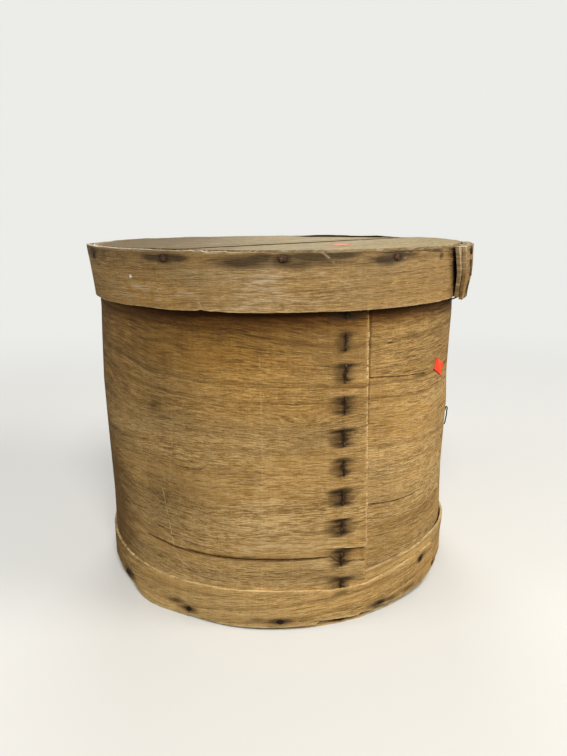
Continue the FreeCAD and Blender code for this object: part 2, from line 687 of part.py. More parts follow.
def make_lid_label(doc, sheet):
    label = doc.addObject("Part::Box", "lid_label")
    label.Label = "lid_label"
    bind(label, "Length", cell("labelLength"))
    bind(label, "Width", cell("labelWidth"))
    bind(label, "Height", cell("labelThickness"))
    middle = Vector(size(sheet, "lidLabelSide"), -size(sheet, "lidLabelFront"), size(sheet, "lidTop"))
    rotation = Rotation(Vector(0, 0, 1), size(sheet, "lidLabelTurn"))
    corner = Vector(-size(sheet, "labelLength") / 2, -size(sheet, "labelWidth") / 2, 0)
    label.Placement = Placement(middle + rotation.multVec(corner), rotation)
    return label


def check(doc, pieces):
    for thing in doc.Objects:
        if "Invalid" in thing.State or "Error" in thing.State:
            raise RuntimeError(f"{thing.Label} failed: {thing.State}")
    for piece in pieces:
        shape = piece.Shape
        if shape.isNull() or not shape.isValid() or not shape.Solids:
            raise RuntimeError(f"{piece.Label} has no valid solid")


def main():
    doc = FreeCAD.newDocument("bentwood_box")
    sheet = make_sizes(doc)
    pieces = [make_side_sheet(doc, sheet), make_foot_hoop(doc, sheet)]
    pieces += make_bottom_boards(doc, sheet)
    pieces += [make_seam_staples(doc, sheet), make_foot_staples(doc, sheet), make_loose_staple(doc, sheet)]
    pieces += make_lid_boards(doc, sheet)
    pieces += [make_lid_hoop(doc, sheet), make_lap_strip(doc, sheet), make_lap_staples(doc, sheet)]
    nail = make_nail(doc, sheet)
    pieces += [make_foot_nails(doc, sheet, nail), make_lid_nails(doc, sheet, nail)]
    pieces += [make_side_label(doc, sheet), make_lid_label(doc, sheet)]
    doc.recompute()
    check(doc, pieces)
    os.makedirs("parts", exist_ok=True)
    for piece in pieces:
        piece.Shape.exportStep(f"parts/{piece.Label}.step")
        print(f"{piece.Label}: {len(piece.Shape.Solids)} solids, {piece.Shape.Volume:.1f} mm3")


main()
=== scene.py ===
import math

import bpy
import numpy as np
from mathutils import Matrix, Vector


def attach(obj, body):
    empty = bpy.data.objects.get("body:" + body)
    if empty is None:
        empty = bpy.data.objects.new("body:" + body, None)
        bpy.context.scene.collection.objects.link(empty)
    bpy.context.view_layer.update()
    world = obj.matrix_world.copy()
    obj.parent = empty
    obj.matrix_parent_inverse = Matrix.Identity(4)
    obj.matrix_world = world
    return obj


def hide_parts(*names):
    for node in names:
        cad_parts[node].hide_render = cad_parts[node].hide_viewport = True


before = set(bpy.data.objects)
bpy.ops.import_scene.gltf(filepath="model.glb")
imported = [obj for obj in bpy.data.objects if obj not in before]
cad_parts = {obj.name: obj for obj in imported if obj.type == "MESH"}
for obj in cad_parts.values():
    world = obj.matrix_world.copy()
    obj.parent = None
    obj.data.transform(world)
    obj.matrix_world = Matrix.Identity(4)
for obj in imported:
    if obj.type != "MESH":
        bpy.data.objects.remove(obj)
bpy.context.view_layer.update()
mm = 0.001
print("frame loaded")


# camera, floor and light

shot = {
    "place": (0.005685, -0.551194, 0.290869),
    "tilt": 75.584,  # degrees from straight down
    "roll": -0.2007,  # degrees
    "lens": 30.48,
    "sensor": 36.0,
}

camera = bpy.data.objects.new("camera", bpy.data.cameras.new("camera"))
bpy.context.scene.collection.objects.link(camera)
camera.data.sensor_width = shot["sensor"]
camera.data.lens = shot["lens"]
camera.data.clip_start = 0.01
camera.location = shot["place"]
tiltTurn = Matrix.Rotation(math.radians(shot["tilt"]), 3, "X")
rollTurn = Matrix.Rotation(math.radians(shot["roll"]), 3, "Z")
camera.rotation_euler = (tiltTurn @ rollTurn).to_euler()
bpy.context.scene.camera = camera
bpy.context.scene.view_settings.view_transform = "Standard"


def pickNone():
    if bpy.context.mode != "OBJECT":
        bpy.ops.object.mode_set(mode="OBJECT")
    bpy.ops.object.select_all(action="DESELECT")


def pickOnly(obj):
    pickNone()
    obj.select_set(True)
    bpy.context.view_layer.objects.active = obj


def named(obj, name):
    obj.name = obj.data.name = name
    return obj


def applyModifier(obj, kind, **settings):
    pickOnly(obj)
    modifier = obj.modifiers.new(kind, kind)
    for key, value in settings.items():
        setattr(modifier, key, value)
    bpy.ops.object.modifier_apply(modifier=modifier.name)


def tint(*screen):
    # a colour as a screen shows it, 0 to 255, turned into the shader's own values
    parts = [value / 255 for value in screen]
    return (*(part / 12.92 if part <= 0.04045 else ((part + 0.055) / 1.055) ** 2.4 for part in parts), 1.0)


def feed(node, inputs):
    # numbers and colours are set, and sockets are linked
    for key, value in inputs.items():
        if isinstance(value, bpy.types.NodeSocket):
            tree.links.new(value, node.inputs[key])
        else:
            node.inputs[key].default_value = value
    return node


def put(kind, inputs=None, **settings):
    # adds a node to the material in hand
    node = tree.nodes.new(kind)
    for key, value in settings.items():
        setattr(node, key, value)
    return feed(node, inputs or {})


def sums(operation, first, second=0.0, third=0.0, clamp=False):
    return put("ShaderNodeMath", {0: first, 1: second, 2: third}, operation=operation,
               use_clamp=clamp).outputs[0]


def times(first, second, clamp=False):
    return sums("MULTIPLY", first, second, clamp=clamp)


def plus(first, second):
    return sums("ADD", first, second)


def unsigned(value):
    return sums("ABSOLUTE", value)


def scaled(value, by, start):
    return sums("MULTIPLY_ADD", value, by, start)


def mixed(amount, first, second, blend="MIX"):
    return put("ShaderNodeMix", {0: amount, 6: first, 7: second}, data_type="RGBA",
               blend_type=blend).outputs[2]


def eased(*limits):
    # limits: value, low, high, start and end; runs smoothly from start to end as value goes from low to high
    return put("ShaderNodeMapRange", dict(enumerate(limits)), interpolation_type="SMOOTHSTEP").outputs[0]


def streaks(vector, along, across, detail=3.0, rough=0.6, seed=0.0):
    # noise drawn out along the first direction: along and across are its waves per metre
    spot = put("ShaderNodeMapping", {0: vector, "Scale": (along, across, along),
                                     "Location": (seed, seed * 1.7, seed * 0.6)}).outputs[0]
    return put("ShaderNodeTexNoise",
               {"Vector": spot, "Scale": 1.0, "Detail": detail, "Roughness": rough}).outputs[0]


def ramp(value, stops, smooth="LINEAR"):
    node = put("ShaderNodeValToRGB", {0: value})
    node.color_ramp.interpolation = smooth
    marks = node.color_ramp.elements
    while len(marks) < len(stops):
        marks.new(0.5)
    for mark, (place, colour) in zip(marks, sorted(stops, key=lambda stop: stop[0])):
        mark.position, mark.color = place, colour
    return node.outputs[0]


def attribute(name):
    return put("ShaderNodeAttribute", attribute_name=name).outputs["Fac"]


def objectPlace():
    return put("ShaderNodeTexCoord").outputs["Object"]


def newMaterial(name):
    # from here on, put adds its nodes to this material
    global tree
    material = bpy.data.materials.new(name)
    material.use_nodes = True
    tree = material.node_tree
    return material, tree.nodes["Principled BSDF"]


def finishShader(shader, colour, roughness, gloss, relief, strength, depth):
    bumps = put("ShaderNodeBump", {"Height": relief, "Strength": strength, "Distance": depth})
    feed(shader, {"Base Color": colour, "Roughness": roughness, "Specular IOR Level": gloss,
                  "Normal": bumps.outputs[0]})


stageLook = {"floor": (212, 211, 207), "bounce": (110, 106, 100), "wall": (236, 236, 232),
             "sky": (0.88, 0.90, 0.92, 1), "skyStrength": 0.27, "floorSize": 8.0, "fade": (0.38, 1.25)}

pickNone()
bpy.ops.mesh.primitive_circle_add(vertices=96, radius=stageLook["floorSize"], fill_type="NGON")
floor = named(bpy.context.object, "floor")
floorMaterial, shader = newMaterial("palePaper")
# pale where the camera sees it, and quieter in what it throws back on the box
seen = put("ShaderNodeLightPath").outputs["Is Camera Ray"]
feed(shader, {"Base Color": mixed(seen, tint(*stageLook["bounce"]), tint(*stageLook["floor"])),
              "Roughness": 0.9, "Specular IOR Level": 0.1})
# far off it runs into the wall's colour
away = put("ShaderNodeVectorMath", {0: objectPlace()}, operation="LENGTH").outputs["Value"]
wallLight = put("ShaderNodeEmission", {"Color": tint(*stageLook["wall"]), "Strength": 1.0})
fadeAway = times(eased(away, *stageLook["fade"]), seen)
blend = put("ShaderNodeMixShader", {0: fadeAway, 1: shader.outputs[0], 2: wallLight.outputs[0]})
feed(tree.nodes["Material Output"], {0: blend.outputs[0]})
floor.data.materials.append(floorMaterial)

world = bpy.data.worlds.new("studio")
bpy.context.scene.world = world
world.use_nodes = True
tree = world.node_tree
lightPath = put("ShaderNodeLightPath")
seen = sums("MAXIMUM", lightPath.outputs["Is Camera Ray"], lightPath.outputs["Is Glossy Ray"])
feed(tree.nodes["Background"], {0: mixed(seen, stageLook["sky"], tint(*stageLook["wall"])),
                                1: eased(seen, 0.0, 1.0, stageLook["skyStrength"], 1.0)})

lampAim = Vector((0, 0, 0.13))
lamps = {
    # name: bearing from the front, height angle, distance, size, watts, colour
    "overFront": (6, 48, 1.8, 0.7, 27.0, (1.0, 0.975, 0.93)),
    "rightSide": (74, 30, 1.9, 0.9, 20.0, (1.0, 0.965, 0.91)),
    "leftSide": (-72, 30, 2.0, 0.9, 8.0, (0.96, 0.98, 1.0)),
    "behind": (184, 30, 2.1, 1.2, 20.0, (0.97, 0.985, 1.0)),
}
for name, (bearing, angle, distance, width, watts, colour) in lamps.items():
    level = Matrix.Rotation(math.radians(bearing), 3, "Z") @ Matrix.Rotation(math.radians(-angle), 3, "X")
    lamp = bpy.data.objects.new(name, bpy.data.lights.new(name, "AREA"))
    lamp.data.shape = "DISK"
    lamp.data.size = width
    lamp.data.energy = watts
    lamp.data.color = colour
    lamp.location = lampAim + level @ Vector((0, -distance, 0))
    lamp.rotation_euler = (lampAim - lamp.location).to_track_quat("-Z", "Y").to_euler()
    bpy.context.scene.collection.objects.link(lamp)
print("camera, floor and lamps")


# veneer, wound from flat sheets

def keep(obj, name, values):
    spot = obj.data.attributes.get(name) or obj.data.attributes.new(name, "FLOAT", "POINT")
    spot.data.foreach_set("value", np.ascontiguousarray(values, dtype=np.float32))


def recall(obj, name):
    values = np.empty(len(obj.data.vertices), dtype=np.float32)
    obj.data.attributes[name].data.foreach_get("value", values)
    return values.astype(float)


def recallAll(obj, *names):
    return [recall(obj, name) for name in names]


def points(obj):
    spots = np.empty(len(obj.data.vertices) * 3, dtype=np.float32)
    obj.data.vertices.foreach_get("co", spots)
    return spots.reshape(-1, 3).astype(float)


def movePoints(obj, spots):
    obj.data.vertices.foreach_set("co", np.ascontiguousarray(spots, dtype=np.float32).ravel())
    obj.data.update()


def soft(value, low, high):
    # 0 at low and 1 at high, whichever is the greater
    share = np.clip((value - low) / (high - low), 0, 1)
    return share * share * (3 - 2 * share)


def bump(value, middle, width):
    return np.exp(-((value - middle) / width) ** 2)


def fold(bearing):
    return (bearing + 180) % 360 - 180


def curve(table, value):
    return np.interp(value, *zip(*table))


def wobble(value, step, seed):
    # smooth random values between -1 and 1, one fresh value every step
    picks = np.random.default_rng(seed).uniform(-1, 1, 4096)
    spot = value / step + 1000
    low = np.floor(spot).astype(int)
    share = soft(spot - low, 0, 1)
    return picks[low % 4096] * (1 - share) + picks[(low + 1) % 4096] * share


def ripple(bearing, height, seed):
    # slow waves round the box that close on themselves, about -1 to 1
    total = 0
    rng = np.random.default_rng(seed)
    for turns in (2, 3, 4, 5, 7):
        lean, start, weight = (rng.uniform(low, high) for low, high in ((-0.03, 0.03), (0, 6.3), (0.5, 1)))
        total = total + weight / turns ** 0.5 * np.cos(np.radians(bearing) * turns + start + lean * height)
    return total / 1.9


def blots(table, bearing, height, pile=np.maximum):
    # soft spots at (bearing, height, half width in degrees, half height in mm, strength)
    total = 0
    for place, up, wide, tall, strength in table:
        total = pile(total, strength * bump(fold(bearing - place), 0, wide) * bump(height, up, tall))
    return total


def spread(stations, radius):
    # bearings between stations, each with the step in mm that starts there
    bearings = []
    for (start, step), (end, _) in zip(stations, stations[1:]):
        count = max(1, round(math.radians(end - start) * radius / step))
        bearings.extend(np.linspace(start, end, count, endpoint=False))
    return np.array(bearings + [stations[-1][0]])


def drawEnd(bearing, start, end, newEnd):
    # moves a strip's end to newEnd, and what lies past start along with it
    return np.where(bearing > start, start + (bearing - start) / (end - start) * (newEnd - start), bearing)


def climb(share):
    # 0 to 1 in two curves of equal bend
    share = np.clip(share, 0, 1)
    return np.where(share < 0.5, 2 * share ** 2, 1 - 2 * (1 - share) ** 2)


def laySheet(name, bearings, rows, narrow=None):
    # a flat sheet of cells, and the bearing and row of each of its points; with narrow the rows are
    # shares of the height, and the first and the last are that narrow, for the edges of a hoop
    columns = len(bearings) - 1
    pickNone()
    bpy.ops.mesh.primitive_grid_add(x_subdivisions=columns, y_subdivisions=rows, size=1, calc_uvs=False)
    sheet = named(bpy.context.object, name)
    column, row = np.rint((points(sheet)[:, :2] + 0.5) * (columns, rows)).T
    keep(sheet, "column", column)
    keep(sheet, "row", row)
    if narrow:
        row = np.interp(row, [0, 1, rows - 1, rows], [0, narrow, 1 - narrow, 1])
        keep(sheet, "share", row)
    return sheet, bearings[column.astype(int)], row


def mergeDoubles(apart):
    bpy.ops.mesh.select_all(action="SELECT")
    bpy.ops.mesh.remove_doubles(threshold=apart * mm)


def cutFaces(sheet, isOut):
    # deletes the cells that isOut picks by their middle column and row
    mesh = sheet.data
    corners = np.array([list(face.vertices) for face in mesh.polygons])
    column, row = (recall(sheet, name)[corners].mean(axis=1) for name in ("column", "row"))
    pickOnly(sheet)
    bpy.context.tool_settings.mesh_select_mode = (False, False, True)
    mesh.vertices.foreach_set("select", np.zeros(len(mesh.vertices), dtype=bool))
    mesh.edges.foreach_set("select", np.zeros(len(mesh.edges), dtype=bool))
    mesh.polygons.foreach_set("select", isOut(column, row))
    bpy.ops.object.mode_set(mode="EDIT")
    bpy.ops.mesh.delete(type="FACE")
    bpy.ops.mesh.select_mode(type="VERT")
    mergeDoubles(0.03)
    bpy.ops.object.mode_set(mode="OBJECT")


def wind(sheet, bearing, height, radius, centre=(0.0, 0.0)):
    angle = np.radians(bearing)
    across = centre[0] + radius * np.sin(angle)
    back = centre[1] - radius * np.cos(angle)
    movePoints(sheet, np.stack([across, back, height], axis=1) * mm)
    keep(sheet, "bearing", bearing)
    keep(sheet, "height", height)


def thicken(sheet, thickness, even=True):
    # the sheet's own points stay on the outside
    outer = len(sheet.data.vertices)
    applyModifier(sheet, "SOLIDIFY", thickness=thickness * mm, offset=-1.0, use_even_offset=even)
    keep(sheet, "outside", np.arange(len(sheet.data.vertices)) < outer)


def layUV(obj, name, along, up):
    corners = np.empty(len(obj.data.loops), dtype=np.int32)
    obj.data.loops.foreach_get("vertex_index", corners)
    spots = np.stack([along[corners], up[corners]], axis=1).astype(np.float32)
    obj.data.uv_layers.new(name=name).uv.foreach_set("vector", spots.ravel())


def paint(obj, marks):
    # lays down the strength of each kind of mark, for the material to read
    for name, values in marks.items():
        keep(obj, name, values if name == "lit" else np.clip(values, 0, 1))


def dress(obj, material, body, slot, *nodes):
    for name in ("column", "row", "bearing", "height", "share", "outside", "run", "over"):
        if name in obj.data.attributes:
            obj.data.attributes.remove(obj.data.attributes[name])
    obj.data.materials.clear()
    obj.data.materials.append(material)
    pickOnly(obj)
    bpy.ops.object.shade_smooth_by_angle(angle=math.radians(38))
    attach(obj, body)
    if nodes:
        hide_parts(*nodes)
    print(obj.name, len(obj.data.polygons), "faces")


def veneerMaterial(name, look):
    # reads the flat UV map for marks at a place, and the grain UV map for all that follows the grain
    material, shader = newMaterial(name)
    if "turned" in look:
        flat = grain = put("ShaderNodeMapping", {"Vector": objectPlace(), "Location": (0.2, 0.16, 0),
                                                 "Rotation": (0, 0, look["turned"])}).outputs[0]
    else:
        flat, grain = (put("ShaderNodeUVMap", uv_map=key).outputs[0] for key in ("flat", "grain"))
    apart = put("ShaderNodeSeparateXYZ", {0: grain}).outputs
    drift = scaled(streaks(grain, 6, 14, 2.0), look["drift"], -look["drift"] / 2)
    drift = scaled(streaks(grain, 45, 70, 2.0), 0.0014, drift)
    up = plus(apart[1], drift)
    run = put("ShaderNodeCombineXYZ", {0: apart[0], 1: up}).outputs[0]

    bands = eased(streaks(run, 3.5, 60, 3.0, 0.55, 2.6), 0.3, 0.7)
    longStreak = eased(streaks(run, 16, 260, 3.0, 0.6, 3.1), 0.3, 0.7)
    midStreak = eased(streaks(run, 75, 640, 3.0, 0.65, 7.7), 0.3, 0.7)
    fineStreak = eased(streaks(run, 120, 960, 3.0, 0.7, 1.9), 0.32, 0.68)
    mottle = eased(streaks(flat, 560, 760, 2.0, 0.6, 4.9), 0.32, 0.68)
    tone = times(bands, 0.18)
    for part, share in ((longStreak, 0.09), (midStreak, 0.15), (mottle, 0.16), (fineStreak, 0.42)):
        tone = scaled(part, share, tone)
    shades = zip((0.0, 0.40, 0.62, 1.0), ("dark", "middle", "light", "pale"))
    colour = ramp(scaled(tone, look["contrast"], 0.5 - look["contrast"] / 2),
                  [(place, tint(*look[key])) for place, key in shades])

    def dye(amount, key, way="MIX"):
        nonlocal colour
        colour = mixed(amount, colour, tint(*look[key]), way)

    dye(times(eased(streaks(flat, 9, 17, 3.0, 0.55, 5.3), 0.42, 0.7), look["greyShare"]), "grey")
    dye(times(eased(streaks(run, 6, 42, 2.0, 0.5, 9.1), 0.42, 0.68), look["warmShare"]), "warm")

    # growth lines at their heights in the warped height, sharp below and soft above
    stops = [(0.0, (0, 0, 0, 1))]
    for level, strength, width in look["lines"]:
        for offset, grey in ((-0.5, 0), (0, strength), (2.2, 0)):
            stops.append(((level + offset * width) / look["height"], (grey, grey, grey, 1)))
    lines = ramp(sums("DIVIDE", up, look["height"] * mm), stops)
    lines = times(lines, eased(streaks(run, 14, 60, 3.0, 0.6, 4.4), 0.32, 0.58, 0.6, 1.0))
    lines = times(lines, eased(midStreak, 0.1, 0.9, 1.15, 0.7), clamp=True)
    dye(lines, "line")

    # short dark pores and pale raised fibres
    porous = times(attribute("porous"), 0.05)
    pores = eased(plus(streaks(run, 44, 900, 2.0, 0.6, 12.0), porous), 0.585, 0.655)
    pores = times(pores, eased(streaks(flat, 16, 30, 2.0, 0.5, 2.2), 0.36, 0.6, 0.15, 1.0))
    finePores = eased(plus(streaks(run, 90, 1500, 1.0, 0.5, 17.0), porous), 0.61, 0.69)
    pores = sums("MAXIMUM", pores, times(finePores, 0.6))
    dye(times(pores, look["pores"]), "pore")
    fibres = eased(streaks(run, 130, 800, 2.0, 0.5, 21.0), 0.62, 0.70)
    dye(times(fibres, look["fibres"]), "fibre")

    # faint upright marks that the peeling knife left
    chatter = streaks(flat, 330, 16, 3.0, 0.6, 6.6)
    knife = ramp(chatter, [(0.3, (0.30, 0.30, 0.30, 1)), (0.7, (0.7, 0.7, 0.7, 1))])
    colour = mixed(look["chatter"], colour, knife, "OVERLAY")

    # worn places, grime together with painted shade, torn and stained places come from the point attributes,
    # broken up by the grain
    broken = scaled(fineStreak, 0.3, sums("SUBTRACT", scaled(midStreak, 0.5, -0.25), 0.15))
    broken = plus(broken, scaled(streaks(flat, 60, 160, 3.0, 0.6, 3.3), 0.6, -0.3))

    def worked(key, low, high, share, ragged=look["ragged"]):
        strength = attribute(key)
        edge = eased(scaled(broken, ragged, strength), low, high)
        return times(times(edge, eased(strength, 0.0, 0.08)), share)

    dye(times(attribute("amber"), 1.0, clamp=True), "amber", "MULTIPLY")
    dye(worked("grimeAndShade", 0.15, 1.0, 0.85), "grimeAndShade", "MULTIPLY")
    dye(worked("worn", 0.15, 0.95, 0.8), "worn")
    dye(worked("torn", 0.2, 0.8, 0.95), "torn")
    rawEdge = times(attribute("edge"), eased(fineStreak, 0.0, 1.0, 0.2, 1.15), clamp=True)
    ticks = times(attribute("ticks"), eased(streaks(flat, 120, 620, 2.0, 0.6, 27.0), 0.42, 0.56))
    dye(sums("MAXIMUM", rawEdge, ticks), "edge")
    dye(worked("stain", 0.0, 0.75, 0.82, 0.4), "stain")
    dye(worked("black", 0.2, 0.8, 0.9, 0.35), "black")
    if "shade" in look:
        dye(attribute("shade"), "shade", "MULTIPLY")
    if "fleckAt" in look:
        # a stuck fleck of white paint
        off = put("ShaderNodeVectorMath", {0: flat, 1: (*look["fleckAt"], 0)},
                  operation="DISTANCE").outputs["Value"]
        dye(sums("LESS_THAN", off, scaled(streaks(flat, 500, 500, 2.0, 0.6, 31.0), 0.0021, 0.0001)), "fleck")
    if "column" in look:
        colour = stapleStains(flat, run, colour, midStreak, look["column"])
    if "crack" in look:
        cracks = drawnLine(flat, "crack", 1.0, 7.0)
        dye(cracks, "crack")
    if "rub" in look:
        dye(drawnLine(flat, "rub", 0.9, 15.0, 0.05), "rub")
    # paler or darker over broad areas
    colour = mixed(1.0, colour, plus(attribute("lit"), 1.0), "MULTIPLY")

    relief = times(tone, 0.7)
    for part, depth in ((pores, -0.5), (fibres, 0.4), (chatter, 0.35), (lines, -0.3)):
        relief = scaled(part, depth, relief)
    if "crack" in look:
        relief = scaled(cracks, -1.2, relief)
    finishShader(shader, colour, eased(tone, 0.2, 0.9, 0.68, 0.84), look["gloss"], relief, look["relief"],
                 0.0007)
    return material


def stapleStains(flat, run, colour, midStreak, column):
    # one cloud and two bars at the legs for each staple of the column, all of uneven strength
    apart = put("ShaderNodeSeparateXYZ", {0: flat}).outputs
    low = (column["first"] - column["pitch"] / 2) * mm
    turn = sums("DIVIDE", sums("SUBTRACT", apart[1], low), column["pitch"] * mm)
    local = scaled(sums("FRACT", turn), column["pitch"], -column["pitch"] / 2)
    # a staple's own values are a colour of this ramp, with its lift coded in the alpha
    count = len(column["picks"])
    stops = [(spot / count, (*pick[:3], 0.5 + pick[3] / 8)) for spot, pick in enumerate(column["picks"])]
    picks = ramp(sums("DIVIDE", plus(sums("FLOOR", turn), 0.5), count), stops, "CONSTANT")
    local = scaled(picks.node.outputs["Alpha"], -8.0, plus(local, 4.0))
    wide, lower, upper = list(put("ShaderNodeSeparateColor", {0: picks}).outputs)[:3]
    along = times(sums("SUBTRACT", apart[0], column["along"] * mm), 1000)
    along = plus(along, scaled(streaks(flat, 60, 260, 3.0, 0.65, 8.1), 10.0, -5.0))
    height = scaled(streaks(run, 30, 520, 3.0, 0.6, 5.5), 3.4, sums("SUBTRACT", local, 1.7))
    side, upright = unsigned(along), unsigned(height)
    # a haze round the crown
    far = sums("POWER", sums("DIVIDE", unsigned(plus(along, 1.4)), scaled(wide, 9.0, 8.0)), 1.4)
    tall = sums("POWER", sums("DIVIDE", upright, 8.8), 3.5)
    haze = times(eased(plus(far, tall), 1.0, 0.0), scaled(lower, 0.22, 0.78))
    # black close to the crown and in bars at the two legs
    leg = unsigned(sums("SUBTRACT", upright, 5.0))
    isUpper = sums("GREATER_THAN", height, 0.0)
    pick = scaled(isUpper, sums("SUBTRACT", upper, lower), lower)
    long = sums("DIVIDE", side, scaled(pick, 10.0, scaled(isUpper, 3.5, 5.5)))
    bars = times(times(eased(leg, 2.5, 0.3), eased(long, 1.0, 0.0)), scaled(pick, 0.35, 0.65))
    core = times(eased(side, scaled(wide, 3.2, 2.4), 0.3), eased(upright, 7.2, 5.2))
    core = sums("MAXIMUM", times(bars, 0.95), times(core, 0.85))
    grainy = eased(midStreak, 0.0, 1.0, 1.15, 0.8)
    colour = mixed(times(haze, grainy, clamp=True), colour, tint(*column["haze"]))
    return mixed(times(core, grainy, clamp=True), colour, tint(*column["core"]))


def traceMarks(sheet, name, marks, radius):
    # for each point the signed distance to the nearest mark, in its half widths, and how strongly it shows
    spot = np.stack([np.radians(recall(sheet, "bearing")) * radius, recall(sheet, "height")], axis=1)
    nearest, gap, strength = np.full(len(spot), 1e9), np.full(len(spot), 99.0), np.zeros(len(spot))
    for wide, weight, chain in marks:
        chain = np.array(chain) * (math.radians(1) * radius, 1)
        for index, (start, end) in enumerate(zip(chain, chain[1:])):
            reach = end - start
            length = np.hypot(*reach)
            share = (spot - start) @ reach / length ** 2
            onIt = np.clip(share, -1e9 if index == 0 else 0, 1e9 if index == len(chain) - 2 else 1)
            off = spot - start - onIt[:, None] * reach
            away = np.hypot(off[:, 0], off[:, 1])
            beyond = length * np.maximum(np.maximum(-onIt, onIt - 1), 0)
            closer = away + beyond < nearest
            turnSign = np.sign(reach[0] * off[:, 1] - reach[1] * off[:, 0])
            nearest = np.where(closer, away + beyond, nearest)
            gap = np.where(closer, away * turnSign / wide, gap)
            strength = np.where(closer, weight * (1 - soft(away, 4, 7)) * (1 - soft(beyond, 0, 3)), strength)
    keep(sheet, name + "Gap", gap)
    keep(sheet, name + "Strength", strength)


def drawnLine(flat, name, wander, seed, faintest=0.5):
    # the lines that traceMarks laid down, wandering a little and broken in places
    sway = scaled(streaks(flat, 260, 420, 3.0, 0.6, seed), 2 * wander, -wander)
    gap = unsigned(plus(attribute(name + "Gap"), sway))
    line = times(eased(gap, 1.0, 0.25), attribute(name + "Strength"))
    return times(line, eased(streaks(flat, 150, 240, 2.0, 0.6, seed + 3), 0.38, 0.54, faintest, 1.0))


woodTones = {
    "dark": (120, 91, 48), "middle": (171, 137, 83), "light": (191, 157, 101), "pale": (216, 184, 128),
    "grey": (154, 132, 94), "greyShare": 0.35, "warm": (178, 137, 74), "warmShare": 0.4,
    "line": (104, 74, 36), "pore": (82, 58, 30), "fibre": (222, 192, 138), "pores": 0.6, "fibres": 0.35,
    "chatter": 0.18, "contrast": 1.55, "drift": 0.009, "ragged": 0.9, "relief": 0.5, "gloss": 0.18,
    "amber": (222, 202, 146), "grimeAndShade": (120, 101, 64), "worn": (206, 180, 134), "torn": (206, 172, 116),
    "edge": (214, 184, 132), "stain": (46, 34, 24), "black": (14, 9, 6),
}


# the side: one sheet, wound a little over one turn

